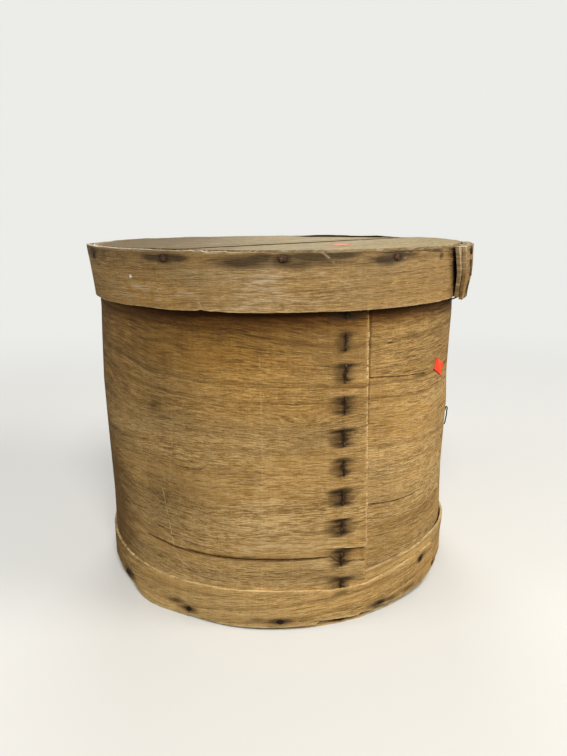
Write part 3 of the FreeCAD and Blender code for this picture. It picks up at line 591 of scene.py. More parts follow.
side = {
    "radius": 145.8, "thickness": 2.4, "pitch": 2.5, "height": 259.0,
    "climbStart": 329.92, "climbEnd": 355.92,
    "stations": [(-3.58, 4.0), (25.5, 0.7), (27.3, 2.4), (92.0, 5.0), (268.0, 2.4), (375.0, 1.5),
                 (384.6, 0.7), (385.5, 0)],
    "rows": 104,
    # the long split: bearing, height; and how far it stands open
    "split": [(-43.7, 55.0), (-35.4, 55.0), (-30.7, 53.6), (-22.2, 53.8), (-14.2, 54.7), (-4.5, 55.7),
              (6.6, 55.6), (11.0, 55.4), (14.9, 55.3), (18.2, 49.0), (22.0, 48.6), (25.5, 47.0)],
    "open": [(-43.7, 0), (-41, 0.5), (-35, 0.7), (-25, 1.05), (-10, 1.3), (0, 1.3), (8, 1.15), (12.5, 0.8),
             (15.4, 0)],
    "lip": [(-43, 0.5), (-35, 0.65), (-25, 1.0), (-10, 1.25), (0, 1.25), (8, 0.9), (14, 0.3)],
    # the short split that runs out at the seam
    "seamSplit": [(5.0, 61.6), (9.8, 61.6), (12.0, 62.1), (14.9, 61.5), (17.8, 60.5), (21.5, 58.9),
                  (25.6, 57.5)],
    "seamOpen": [(9.0, 0), (14, 0.5), (18, 1.1), (25.6, 1.5)],
    "seamEnd": [(0, 26.15), (34, 26.1), (40, 25.9), (56, 25.6), (58.5, 26.4), (92, 26.3), (150, 25.7),
                (228, 25.0), (259, 24.8)],
    "leftBulge": [(30, 0.0), (64, -0.1), (103, 0.8), (129, 1.4), (161, 1.9), (195, 0.7), (219, -0.3),
                  (235, 0)],
    "frontLight": [(40, 0.14), (55, 0.18), (70, 0.14), (87, 0.23), (103, 0.18), (120, 0.2), (136, 0.17),
                   (151, -0.08), (165, 0.31), (180, 0.4), (196, 0.29), (211, -0.14), (225, -0.36)],
    "leftLight": [(52, -0.08), (60, -0.17), (73, -0.27), (91, -0.38), (103, -0.34), (120, -0.16), (132, 0.02),
                  (142, -0.2), (151, -0.3), (165, -0.24), (180, -0.3), (196, -0.24), (211, -0.31),
                  (225, -0.15)],
    "rightBulge": [(45, 0.0), (64, -0.5), (85, -0.8), (120, 0.2), (140, 0.8), (165, -0.4), (195, 0),
                   (215, 0.5), (235, 0)],
    "endScale": math.radians(1) * 148,  # mm to a degree at the outer end
    "endFrom": 375,  # from here on the sheet is drawn out or in to its uneven end
    "splitEnds": (-43.7, 15.4), "seamSplitFrom": 9.0, "splitRows": (21, 24),
    # growth lines: the level of each, and its (bearing, height)
    "growth": [
        (0, [(-180, 0), (180, 0)]),
        (55, [(-180, 60), (-90, 66), (-58, 59), (-43, 56), (-20, 54), (6, 55.5), (15, 54.5), (26, 50),
              (48, 46), (70, 46), (110, 54), (180, 60)]),
        (88, [(-180, 88), (-90, 92), (-50, 89), (-20, 87), (5, 90), (25.6, 88), (37, 84.6), (48, 83),
              (70, 82), (110, 86), (180, 88)]),
        (132, [(-180, 128), (-90, 122), (-63.7, 126.7), (-51, 130.8), (-30, 134.4), (-9, 136), (25, 132),
               (48, 127), (75, 126), (180, 128)]),
        (171, [(-180, 166), (-90, 186), (-60, 183), (-45, 177), (-29, 172.2), (-9, 171.3), (14.5, 169.9),
               (26, 167.5), (48, 163.5), (75, 164), (180, 166)]),
        (183, [(-180, 181), (-90, 203), (-66.5, 197), (-47.8, 194.2), (-37.2, 186.6), (-28.8, 185.2),
               (-20, 182.2), (-9, 182.3), (17.8, 179.9), (47.8, 175), (75, 177), (180, 181)]),
        (213, [(-180, 218), (-90, 229), (-60, 226), (-26, 219.4), (-9.3, 216.3), (-3.4, 212.6), (7, 209.1),
               (17.6, 205.2), (50, 207), (90, 214), (180, 218)]),
        (259, [(-180, 259), (180, 259)]),
    ],
    # soft spots at (bearing, height, half width in degrees, half height in mm, strength)
    "figures": [(8, 155.5, 8.5, 6, 7), (-24, 108, 10, 8, 4), (52, 140, 12, 9, 5), (-140, 100, 14, 10, 6)],
    "stains": [(-35.5, 161.4, 3.0, 5, 0.5), (5.2, 138.6, 3.5, 3, 0.32), (-6.8, 117.5, 1.8, 3.5, 0.3)],
    "lights": [(29, 185, 9, 14, 0.32), (9, 143, 7, 9, -0.22), (-45, 102, 5, 8, 0.3), (33, 120, 6, 8, 0.14),
               (50, 226, 12, 9, -0.15), (38, 150, 12, 32, 0.12)],
}


def sideBulge(bearing, height):
    turned = fold(bearing)
    left = curve(side["leftBulge"], height) * bump(turned, -72, 38)
    right = curve(side["rightBulge"], height) * bump(turned, 72, 34)
    return left + right + 0.45 * soft(height, 34, 62) * soft(height, 230, 205) * ripple(turned, height, 5)


def sideRows(bearing, row):
    # heights of the rows, drawn together so that two pairs of them follow the two splits
    turned = bearing - 360
    rowStep = side["height"] / side["rows"]
    lowRow, seamRow = side["splitRows"]
    first, last = side["splitEnds"]

    def follow(path, atRow, opening, outside, low, high):
        # eases a split's path and opening into the even rows beyond its ends
        nominal = (atRow + 0.5) * rowStep
        gap = np.where(outside > 0, rowStep * soft(outside, 0, 4), curve(opening, turned))
        path = nominal + (path - nominal) * soft(turned, low, high)
        return path - gap / 2, path + gap / 2

    outside = np.maximum(first - turned, turned - last)
    path = curve(side["split"], turned) + 0.12 * wobble(bearing * 2.5, 1.7, 3)
    low, high = follow(path, lowRow, side["open"], outside, -62, -44)
    # a narrow row on each side of it holds the edge's own colour
    lip = rowStep + (0.75 - rowStep) * soft(outside, 4, 0)
    path = curve(side["seamSplit"], turned) + 0.1 * wobble(bearing * 2.5, 1.3, 8)
    seamLow, seamHigh = follow(path, seamRow, side["seamOpen"], side["seamSplitFrom"] - turned, -8, 8)
    heights = row * rowStep
    knots = [0, 12, lowRow - 1, lowRow, lowRow + 1, lowRow + 2, seamRow, seamRow + 1, 36, side["rows"]]
    for index in np.flatnonzero((turned > -70) & (turned < 30)):
        marks = [0, 12 * rowStep, low[index] - lip[index], low[index], high[index], high[index] + lip[index],
                 seamLow[index], seamHigh[index], 36 * rowStep, side["height"]]
        heights[index] = np.interp(row[index], knots, marks)
    return heights


def makeSide():
    bearings = spread(side["stations"], side["radius"])
    sheet, bearing, row = laySheet("sideSheet", bearings, side["rows"])
    height = sideRows(bearing, row)
    # the outer end isn't cut straight
    end = 360 + curve(side["seamEnd"], height) + 0.16 * wobble(height, 2.1, 11)
    end += 0.1 * wobble(height, 0.9, 12)
    bearing = drawEnd(bearing, side["endFrom"], side["stations"][-1][0], end)
    turned = bearing - 360
    level = climb((bearing - side["climbStart"]) / (side["climbEnd"] - side["climbStart"]))
    radius = side["radius"] + side["pitch"] * level + sideBulge(bearing, height)
    # the corner above the short split has sprung out
    above = height - curve(side["seamSplit"], turned)
    radius += 1.3 * np.where(above > -0.2, np.exp(-np.maximum(above, 0) / 16), 0) * soft(turned, 4, 26)
    # below it the sheet is pressed flat, and the lower lip of the long split stands a little proud
    under = curve(side["split"], turned) - height
    lip = np.where(under > -0.2, np.exp(-np.maximum(under, 0) / 6), 0)
    radius += 0.5 * lip * soft(turned, -44, -30) * soft(turned, 15, 5)
    wind(sheet, bearing, height, radius)

    def inSplit(middleColumn, middleRow):
        middle = np.interp(middleColumn, np.arange(len(bearings)), bearings) - 360
        long, short = (np.abs(middleRow - splitRow - 0.5) < 0.3 for splitRow in side["splitRows"])
        first, last = side["splitEnds"]
        return long & (middle > first) & (middle < last) | short & (middle > side["seamSplitFrom"])

    cutFaces(sheet, inSplit)
    thicken(sheet, side["thickness"])
    # the outer end is pared thin, with torn fibres
    bearing, height, outside = recallAll(sheet, "bearing", "height", "outside")
    back = (360 + curve(side["seamEnd"], height) - bearing) * side["endScale"]
    pared = soft(-back, -2.8 - 0.7 * wobble(height, 1.6, 21), 0.0) * (0.1 + 0.9 * soft(height, 34, 42))
    drop = (bearing > 370) * outside * pared * (1.25 + 0.45 * wobble(height, 1.3, 22))
    out = np.stack([np.sin(np.radians(bearing)), -np.cos(np.radians(bearing)), np.zeros(len(drop))], axis=1)
    movePoints(sheet, points(sheet) - out * drop[:, None] * mm)
    return sheet


def sideGrain(bearing, height):
    # the warped height: the same all along each growth line
    turned = fold(bearing)
    heights = np.stack([curve(line, turned) for _, line in side["growth"]])
    levels = [level for level, _ in side["growth"]]
    warped = np.array([np.interp(up, line, levels) for up, line in zip(height, heights.T)])
    # pointed growth figures beside the seam and behind
    return warped + blots(side["figures"], turned, height, np.add)


def finishSide(sheet):
    bearing, height, outside = recallAll(sheet, "bearing", "height", "outside")
    around = fold(bearing)
    turned = np.where(bearing > 200, bearing - 360, bearing)
    along = np.radians(bearing) * side["radius"] * mm
    layUV(sheet, "flat", along, height * mm)
    layUV(sheet, "grain", along, sideGrain(bearing, height) * mm)

    def near(place, width):
        return bump(around, place, width)

    def rise(low, high):
        return soft(height, low, high)

    def band(*limits):
        # rises over the first two bearings and falls over the last two
        return soft(turned, *limits[:2]) * soft(turned, *limits[2:])

    onTop, onInner = bearing > 270, bearing < 60
    back = (curve(side["seamEnd"], height) - turned) * side["endScale"]
    onEnd = (bearing > 370) * (0.2 + 0.8 * rise(56, 62))
    ticks = onEnd * soft(back, 3.0, 0.4) * np.clip(0.75 + 0.5 * wobble(height, 9, 36), 0, 1)
    torn = (0.26 + 0.3 * wobble(height, 3.0, 37)) * onEnd * soft(back, 4.5, 0.4)
    edge = 0.16 * onEnd * soft(back, 1.3, 0.4) + 0.85 * rise(2.6, 1.8)
    # painted shade, dull and brown towards the lid, and a painted shadow darkest just below its rim; both
    # fade out where the rim covers the side
    lidShadow = rise(212, 229) * (1 - 0.8 * rise(229.5, 233))
    left = near(-74, 34)
    grimeAndShade = 0.36 * rise(95, 200) * (1 - 0.7 * rise(229.5, 233)) + 0.52 * lidShadow
    # painted shade on the left side, darker and greyer, more so low down; darker at the back too
    grimeAndShade += 0.52 * left + 0.18 * left * ripple(bearing, height, 31) + 0.4 * bump(np.abs(around), 180, 60)
    grimeAndShade += 0.46 * near(-64, 20) * rise(140, 70) + 0.25 * near(-18, 9) * bump(height, 84, 4)
    # painted shadow down where the foot hoop is chipped, and pale along the very edge; darker on the inner
    # face too
    bare = rise(2.0, 2.8) * rise(11, 7)
    grimeAndShade += 0.6 * bare + 0.45 * (1 - outside)
    amber = 0.14 * near(38, 13) * bump(height, 150, 34)
    # warmer and darker towards the top: a warm tint together with painted shade from the lid
    amber += rise(115, 225) * (0.3 + 0.6 * near(-12, 30)) * (1 - 0.6 * near(-80, 30))
    worn = 0.35 * near(-2, 14) * bump(height, 88, 24)
    worn += 0.3 * bump(height, 66, 6) * soft(around, -30, 5) * soft(around, 24, 15)
    worn += 0.22 * near(54, 26) * rise(60, 90) * rise(175, 140)
    # the long split: painted shade, brown above it and dark inside it on the lips and the inner turn behind,
    # and a pale lower lip
    above = height - curve(side["split"], turned)
    reach = band(-44, -40, 16, 14) * onTop
    fromLip = np.abs(above) - curve(side["open"], turned) / 2
    onLip = reach * (1 - soft(fromLip / curve(side["lip"], turned), 0.3, 0.9))
    grimeAndShade += 0.9 * onLip + 0.2 * reach * bump(above, 1.6, 2.2) * (above > 0)
    edge += 0.35 * reach * bump(fromLip, 0.85, 0.3) * (above < 0) * soft(turned, -30, -12)
    black = 0.7 * soft(4.0 - np.abs(above), 0, 1) * onInner * soft(turned, 15, 11) + 0.15 * bare * outside
    # rust, with a wide smear over the lowest staple but one
    smear = bump(height, 44.4 - 0.45 * turned, 2.0) * soft(turned, -6, 12) * (bearing > 300)
    stain = blots(side["stains"], around, height, np.add) + smear * (0.26 + 0.5 * bump(turned, 18, 4.5))
    # the sprung corner over the short split has a pale lower edge
    corner = height - curve(side["seamSplit"], turned)
    edge += 0.8 * soft(turned, 11, 15) * bump(corner, 0.8, 0.7) * (bearing > 370)
    # a painted shadow on the recessed strip below the corner, darkest right under its edge, and warmer there
    shadedRecess = soft(turned, 10, 19) * soft(corner, 0.5, -0.1) * soft(above, 0, 2.5) * (bearing > 360)
    grimeAndShade += shadedRecess * (0.3 + 0.55 * np.exp(np.minimum(corner, 0) / 3))
    amber += 0.45 * shadedRecess
    # a painted shadow line close to the lap's end, and coarser wood to the right of it
    grimeAndShade += 0.4 * onInner * soft(turned, 26.7, 25.9) * (0.45 + 0.55 * rise(120, 165)) * (bearing > 20)
    porous = band(25, 28, 90, 70) + 0.5 * band(-30, -15, 26, 24) * rise(60, 100)
    lit = 0.8 * near(-6, 20) * curve(side["frontLight"], height)
    lit += near(-33, 12) * curve(side["leftLight"], height)
    lit += blots(side["lights"], around, height, np.add)
    lit += 0.34 * near(-60, 26) * rise(214, 226)
    lit -= 0.14 * soft(around, 25, 29) * soft(around, 70, 50) * rise(96, 70)
    lit += 0.1 * soft(around, 30, 42) * soft(around, 90, 70) * rise(62, 90)
    shade = lidShadow * (0.35 + 0.65 * near(8, 48))
    paint(sheet, {"torn": torn, "stain": stain, "grimeAndShade": grimeAndShade, "worn": worn, "black": black, "amber": amber,
                  "edge": edge, "shade": shade, "ticks": ticks, "porous": porous, "lit": lit})


# half width in mm, strength, then the points of each mark as (turn in degrees, height)
sideCracks = [
    (0.75, 0.9, [(25.2, 183.0), (32.2, 181.4), (40, 179.4), (47.8, 177.8)]),
    (0.75, 0.9, [(25.6, 89.1), (37.3, 85.4), (45.8, 84.3)]),
    (0.6, 0.8, [(25.2, 211), (28.5, 210.3)]),
    (0.9, 0.8, [(32.0, 205.3), (33.0, 205.1)]),
    (0.7, 0.7, [(302, 69.6), (308.9, 73.3), (317.6, 76)]),
    (0.8, 0.9, [(375.2, 54.6), (376.5, 51.6), (378.2, 48.8), (379.7, 49.1), (382.0, 48.7), (385.4, 47.1)]),
]
sideRubs = [
    (0.6, 1.0, [(325.1, 103.9), (327.2, 76.7), (328.8, 52.1), (330.9, 43.7), (334.5, 39.9)]),
    (0.6, 0.2, [(356.2, 200), (356.6, 150), (356.5, 80)]),
    (0.8, 0.22, [(331, 177), (330, 130), (328.5, 106)]),
]

sideSheet = makeSide()
finishSide(sideSheet)
traceMarks(sideSheet, "crack", sideCracks, side["radius"])
traceMarks(sideSheet, "rub", sideRubs, side["radius"])

staple = {
    "wide": 1.25, "thick": 0.62, "firstHeight": 7.8, "pitch": 22.4, "bearing": 18.3,
    # from the lowest staple up: how wide its haze is, how far its lower bar and its upper one run, and
    # how far it sits above its even place in mm
    "picks": [(0.5, 0.5, 0.5, 0), (0.45, 0.4, 0.5, 0), (0.45, 0.55, 0.8, 0.5), (0.8, 0.6, 1.0, 1.9),
              (0.7, 0.65, 0.9, 2.0), (0.4, 0.1, 0.55, 2.0), (0.5, 0.7, 1.0, 1.2), (0.6, 0.45, 0.5, 1.8),
              (0.25, 0.15, 1.0, 1.3), (0.0, 0.1, 0.4, 0.2), (0.9, 1.0, 0.8, -1.3)],
    # a wire's path through the wood, in mm out of the wall and up
    "crown": [(-2.6, 5.75), (-0.6, 5.95), (0.62, 5.9), (0.62, 4.6), (0.4, 2.2), (0.36, 0), (0.4, -2.2),
              (0.62, -4.6), (0.62, -5.9), (-0.6, -5.95), (-2.6, -5.75)],
}
sideLook = dict(
    woodTones, height=259.0,
    lines=[(42, 0.3, 2.2), (74, 0.25, 2.0), (92, 0.25, 2.4), (118, 0.3, 2.0), (132, 0.5, 1.8),
           (152, 0.3, 1.5), (171, 0.6, 1.4), (183, 0.75, 1.9), (213, 0.8, 1.7), (232, 0.35, 2.4)],
    column={"first": staple["firstHeight"], "pitch": staple["pitch"], "picks": staple["picks"],
            "along": math.radians(360 + staple["bearing"]) * side["radius"],
            "haze": (80, 58, 30), "core": (36, 22, 8)},
    crack=(56, 37, 20), rub=(214, 186, 138), shade=(216, 182, 92),
)
dress(sideSheet, veneerMaterial("sideVeneer", sideLook), "box", "side_veneer", "side_sheet")


# the foot hoop, wound the same way and lapped over itself

foot = {
    "radius": 147.8, "thickness": 1.9, "pitch": 2.5, "rows": 16,
    "stations": [(26.2, 2.5), (60.0, 2.0), (80.0, 3.0), (100.0, 5.0), (270.0, 2.0), (416.9, 0)],
    "top": [(26.2, 36.3), (33, 38.4), (48, 39.7), (57, 40.9), (64, 40.2), (75, 39.5), (84, 36), (94, 31),
            (102, 28.6), (140, 28), (180, 28.6), (230, 27.8), (270, 29), (294, 29.8), (307, 28.9),
            (311, 28.2), (323, 28.7), (331, 28.8), (338, 29.6), (348, 30.6), (358, 31.6), (367, 31.0),
            (375, 28.5), (386, 28.3), (391, 30.3), (401.5, 33.8), (412, 33.5), (416.9, 33.2)],
    "bottom": [(26.2, 0.6), (40, 1.0), (44, 2.0), (52, 1.2), (57.5, 4.6), (64.7, 5.0), (65.2, 8.0), (70, 7.2),
               (74, 4), (82, 1.5), (84, 0.2), (120, 0.3), (121, 1.6), (133, 1.2), (134, 0), (190, 0.2),
               (191, 1.1), (214, 0.8), (215, 0), (250, 0.5), (262, 1.8), (280, 2.6), (286, 3.0), (292, 7.6),
               (300, 6.4), (306.5, 6.6), (308.5, 5.4), (310.5, 3.0), (314, 1.2), (318, 0.0), (333.4, 0),
               (333.9, 1.4), (338.5, 0.8), (346, 1.2), (352, 1.6), (357, 2.0), (361, 2.3), (366, 2.6),
               (371.3, 2.9), (371.7, 5.6), (378, 5.0), (383.9, 3.8), (384.3, 5.6), (388.2, 4.9), (388.6, 6.6),
               (392, 6.0), (400, 5.2), (404, 4.8), (406.5, 5.2), (409, 4.8), (412, 6.4), (414, 8.0),
               (416.9, 10.0)],
    "wobbleScale": 2.6,  # mm to a degree, about
    "end": 416.9, "endFrom": 410,
    # soft spots at (bearing, height, half width in degrees, half height in mm, strength)
    "rust": [(1, 7.4, 4.2, 2.6, 1.0), (-5, 8.4, 4.0, 2.2, 0.5), (8, 8.2, 4.0, 2.2, 0.45),
             (-26.2, 6.4, 3.4, 3.0, 0.85), (-31, 9.8, 3, 2.6, 0.6), (30.4, 8.6, 3.6, 2.8, 1.0),
             (35, 8.4, 4, 2.2, 0.75), (42, 9.5, 5, 2.6, 0.6), (49, 10.5, 3, 2.5, 0.4),
             (48.4, 28.0, 1.6, 3.4, 1.0), (50.2, 30.4, 2.0, 2.4, 0.6), (-53.6, 9.0, 3.0, 4.4, 0.95),
             (61, 9, 4, 3.5, 0.5), (18.2, 26.0, 2.4, 2.4, 0.5),
             *((place, 7, 4.0, 3.2, 0.9) for place in (91, 121, 151, 181, 211, 241, 272))],
    "black": [(1, 7.2, 1.8, 2.0, 0.9), (-26.2, 6.3, 1.8, 2.2, 0.75), (48.4, 28.0, 1.0, 2.6, 1.0),
              (31, 8.8, 2.2, 1.5, 0.85), (-54.5, 8.2, 1.8, 2.0, 0.95)],
}


def footRadius(turn, height):
    level = climb((turn - side["climbStart"]) / (side["climbEnd"] - side["climbStart"]))
    flare = 2.8 * bump(turn, 319, 9) * soft(height, 14, 0) + 1.3 * bump(turn, 69, 15) * soft(height, 20, 38)
    return foot["radius"] + foot["pitch"] * level + flare + 0.12 * ripple(turn, height, 9)


def makeFoot():
    sheet, bearing, row = laySheet("footHoop", spread(foot["stations"], foot["radius"]), foot["rows"], 0.024)
    around = bearing * foot["wobbleScale"]
    low = curve(foot["bottom"], bearing) + 0.18 * wobble(around, 1.6, 41) * soft(row, 1, 0)
    high = curve(foot["top"], bearing) + 0.22 * wobble(around, 2.2, 42) + 0.5 * wobble(around, 17, 43)
    height = np.maximum(low + (high - low) * row, 0)
    end = foot["end"] + 0.25 * wobble(height, 1.7, 44) - 0.5 * soft(height, 24, 34)
    bearing = drawEnd(bearing, foot["endFrom"], foot["end"], end)
    wind(sheet, bearing, height, footRadius(bearing, height))
    thicken(sheet, foot["thickness"])
    spots = points(sheet)
    spots[:, 2] = np.maximum(spots[:, 2], 0)
    movePoints(sheet, spots)
    return sheet


def finishFoot(sheet):
    bearing, height, share, outside = recallAll(sheet, "bearing", "height", "share", "outside")
    turned, around = fold(bearing), bearing * foot["wobbleScale"]
    along = np.radians(bearing) * foot["radius"] * mm
    layUV(sheet, "flat", along, height * mm)
    slope = 0.085 * np.radians(np.clip(turned, -60, 80)) * foot["radius"] + 2.0 * ripple(bearing, 0, 46)
    layUV(sheet, "grain", along, (height - slope + 20) * mm)
    # below the chipped edge of the outer turn the inner one has painted shade, down to its own pale edge
    onInner = bearing < 57.5
    bare = onInner * soft(height, 2.3, 3.0) * soft(height, 12, 8)
    low = height - curve(foot["bottom"], bearing)
    # painted shade on the left; darker too near the lower edge, towards the back and on the inner face
    grimeAndShade = 0.8 * bump(turned, -74, 34) + 0.3 * soft(low, 6, 1) * (0.5 + 0.5 * ripple(bearing, 0, 47))
    grimeAndShade += 0.16 * soft(turned, 30, 55) + 0.4 * bump(np.abs(turned), 180, 70) + 0.45 * (1 - outside)
    grimeAndShade += 0.5 * bare
    # the worn top edge, faint beside the staples, and the lower one
    faint = 1 - 0.35 * soft(turned, -8, 0) - 0.45 * bump(turned, 19, 5) + 0.35 * soft(turned, 24, 28)
    edge = soft(share, 0.975, 0.998) * 0.72 * faint * (0.75 + 0.25 * wobble(around, 3.2, 49))
    edge += soft(share, 0.93, 0.975) * 0.12 * faint
    edge += soft(low, 1.6, 0.5) * (0.75 + 0.2 * bump(turned, -34, 9))
    edge += 0.85 * onInner * soft(height, 2.9, 2.1)
    paint(sheet, {
        "stain": blots(foot["rust"], bearing, height),
        "black": blots(foot["black"], bearing, height) + 0.05 * bare,
        "grimeAndShade": grimeAndShade, "edge": edge * (0.85 + 0.15 * wobble(around, 9, 48)),
        "amber": 0.15 * bump(turned, 60, 50),
        "torn": 0.6 * (bearing > foot["endFrom"]) * soft(bearing, foot["end"] - 0.9, foot["end"] - 0.1),
        "lit": 0.15 * bump(turned, -1, 17) - 0.08 * bump(turned, 36, 8) * soft(height, 14, 24),
    })


footHoop = makeFoot()
finishFoot(footHoop)
footLook = dict(
    woodTones, height=75.0,
    lines=[(14, 0.4, 2), (27, 0.55, 1.8), (38, 0.5, 1.6), (49, 0.4, 2.0), (60, 0.4, 2)],
    edge=(202, 184, 138), dark=(140, 107, 60), middle=(190, 153, 95), light=(205, 169, 107),
    pale=(224, 192, 134), warm=(194, 151, 83), greyShare=0.2, contrast=1.3, pores=0.45,
)
dress(footHoop, veneerMaterial("footVeneer", footLook), "box", "foot_veneer", "foot_hoop")


# the lid hoop and the strip that doubles its lap

nailTurns = {"front": (-61.0, -28.0, 1.7, 30.8, 65.5), "rear": (91, 120, 150.5, 181, 211, 240, 270)}
lid = {
    "centre": (1.0, -1.0), "lowRadius": 150.8, "highRadius": 153.2, "low": 230.5, "high": 267.6,
    "thickness": 2.6, "pitch": 2.7, "climbStart": -246.86, "climbLong": 26.0, "rows": 22, "flatRadius": 152,
    "wobbleScale": 2.65, "endFrom": -297, "lapEnd": 54.9, "lapSlant": 5.8,
    "stations": [(-303.0, 0.8), (-300.0, 2.0), (-255.0, 5.0), (-95.0, 2.2), (62.0, 2.2), (86.64, 0)],
    # soft spots at (bearing, height, half width in degrees, half height in mm, strength)
    "rust": [
        (-28, 263.4, 3.4, 3.6, 1.0), (-32.2, 263.9, 3.4, 2.4, 0.95), (-23.8, 263.7, 3.2, 2.4, 0.95),
        (-28, 264.6, 7.0, 2.2, 0.7), (1.7, 263.8, 3.4, 3.6, 1.0), (-3, 265.2, 3.4, 2.4, 0.85),
        (-8, 262.0, 6.5, 4.6, 0.8), (-14, 262.8, 3.5, 3.0, 0.5), (-4.5, 264.0, 4.0, 3.0, 0.95),
        (8.5, 264.8, 6.2, 3.2, 1.0), (15.5, 265.4, 5.2, 2.4, 0.95), (5, 260.4, 8, 2.8, 0.6),
        (12, 261.8, 5.0, 2.6, 0.6), (30.8, 263.4, 3.0, 3.4, 0.95), (27.4, 262.3, 3.6, 3.2, 1.0),
        (31, 264.6, 6.5, 1.8, 0.65), (28.5, 259.8, 3.0, 2.2, 0.6), (34.8, 264.3, 3.2, 1.6, 0.75),
        (24, 263.6, 3.0, 1.6, 0.5), (31, 266.3, 4, 1.0, 0.55), (48.2, 262.4, 1.0, 2.8, 0.8),
        (-61, 263.6, 3.2, 4.6, 0.95), (65.5, 264, 1.7, 3.2, 1.0), (64.8, 255.1, 1.2, 2.8, 0.95),
        (67.0, 247.5, 1.4, 3.2, 0.95), (65.3, 236, 1.2, 6, 0.85), (68, 250, 5, 15, 0.3),
        *((place, 263.6, 6.0, 3.4, 0.85) for place in nailTurns["rear"]),
    ],
    "black": [
        (48.2, 262.0, 0.5, 1.6, 0.8), (64.8, 255.1, 0.5, 1.8, 0.8), (67.0, 247.5, 0.6, 2.0, 0.8),
        (12.5, 266.3, 3.5, 1.0, 0.6), (-2.5, 266.6, 3, 0.8, 0.4),
        *((place, 263.6, 1.7, 2.9, 0.85) for place in nailTurns["front"]),
    ],
    "rubbed": [
        (-46, 239, 8, 7, 0.32), (-6, 249, 4, 6, 0.45), (-6, 240, 5, 5, 0.4), (-2, 252, 4.5, 7, 0.62),
        (1, 243, 3.5, 6, 0.45), (-3, 247, 2.4, 9, 0.4), (-36, 243.5, 6, 2.6, 0.62), (-24, 241, 5, 3, 0.5),
        (-30, 237, 4, 3, 0.45), (-41, 236, 4, 3, 0.4), (10, 255, 3, 3, 0.3), (-8, 233.5, 5, 1.6, 0.45),
        (3, 240, 12, 6, 0.34),
    ],
    "rub": [(1.1, 0.5, [(11.0, 267.2), (12.4, 264.6), (13.4, 262.2)]),
            (0.95, 1.0, [(-19.0, 236.0), (-18.5, 233.4), (-18.8, 231.2)])],
    "crack": [(0.5, 0.9, [(25, 266.4), (38, 266.6), (50, 266.3), (55, 265.6)]),
              (0.45, 0.7, [(42, 265.5), (49, 264.9), (55, 263.9)])],
}
strip = {"start": 57.0, "end": 87.4, "low": 228.4, "high": 267.6, "lowRadius": 156.06, "highRadius": 158.6,
         "rows": 24}


def hoopRadius(turn, height):
    share = (height - lid["low"]) / (lid["high"] - lid["low"])
    level = climb((lid["climbStart"] - turn) / lid["climbLong"])
    turned = fold(turn)
    radius = lid["lowRadius"] + (lid["highRadius"] - lid["lowRadius"]) * share + lid["pitch"] * level
    radius += 0.35 * ripple(turned, height, 14) - 0.9 * bump(turned, -75, 30) * soft(share, 0.8, 0)
    return radius + 0.9 * bump(turned, -78, 10) * soft(share, 0.6, 1)


def lapSpring(bearing, height, much):
    # how far the lap's end has sprung out
    return soft(bearing, -296.5, -303) ** 1.5 * (much + 0.3 * wobble(height, 12, 57))


def makeLidHoop():
    sheet, bearing, row = laySheet("lidHoop", spread(lid["stations"], lid["flatRadius"]), lid["rows"], 0.016)
    turned, around = fold(bearing), bearing * lid["wobbleScale"]
    low = lid["low"] + 0.35 * wobble(around, 24, 51) + 0.12 * wobble(around, 2.5, 52)
    low += 0.7 * bump(bearing, -18.6, 0.7)
    ragged = bump(turned, -13.5, 7.5)
    rear = soft(turned, 120, 136) * soft(turned, 178, 164)
    high = lid["high"] + 0.3 * wobble(around, 19, 53) + (0.14 + 0.45 * ragged) * wobble(around, 2.6, 54)
    high += 0.95 * soft(turned, -86, -72) * soft(turned, -4, -16)
    high += rear * (0.95 + 0.35 * wobble(around, 13, 58)) - 0.6 * ragged
    height = low + (high - low) * row
    start = lid["lapSlant"] * (1 - row) - 305.4  # the lap's end leans
    start += 0.10 * wobble(height, 2.3, 55) + 0.08 * wobble(height, 0.9, 56)
    bearing = -drawEnd(-bearing, -lid["endFrom"], -lid["stations"][0][0], -start)
    bulge = 1.3 * soft(bearing, -266, -285) * bump(row, 0.5, 0.36)
    wind(sheet, bearing, height, hoopRadius(bearing, height) + lapSpring(bearing, height, 1.3) + bulge,
         lid["centre"])
    thicken(sheet, lid["thickness"])
    return sheet


def makeLapStrip():
    start, end = strip["start"], strip["end"]
    bearings = spread([(start, 0.8), (start + 3, 2.0), (end - 2, 1.0), (end, 0)], 157)
    sheet, bearing, row = laySheet("lidLapStrip", bearings, strip["rows"], 0.016)
    low = strip["low"] + 0.3 * wobble(bearing * 2.7, 3, 61) + 1.2 * soft(bearing, 60, 70)
    high = strip["high"] + 0.25 * wobble(bearing * 2.7, 2.2, 62)
    height = low + (high - low) * row
    begin = start - 0.2 + 4.6 * (1 - row) + 0.10 * wobble(height, 2.1, 63) + 0.5 * soft(height, 236, 229)
    bearing = begin + (bearing - start) / (end - start) * (end - begin)
    # it bulges between its two edges
    radius = strip["lowRadius"] + (strip["highRadius"] - strip["lowRadius"]) * row
    radius += 1.6 * bump(row, 0.5, 0.36)
    radius += lapSpring(bearing - 360, height, 1.5) + 0.1 * wobble(bearing, 6, 65)
    wind(sheet, bearing, height, radius, lid["centre"])
    thicken(sheet, lid["thickness"])
    return sheet


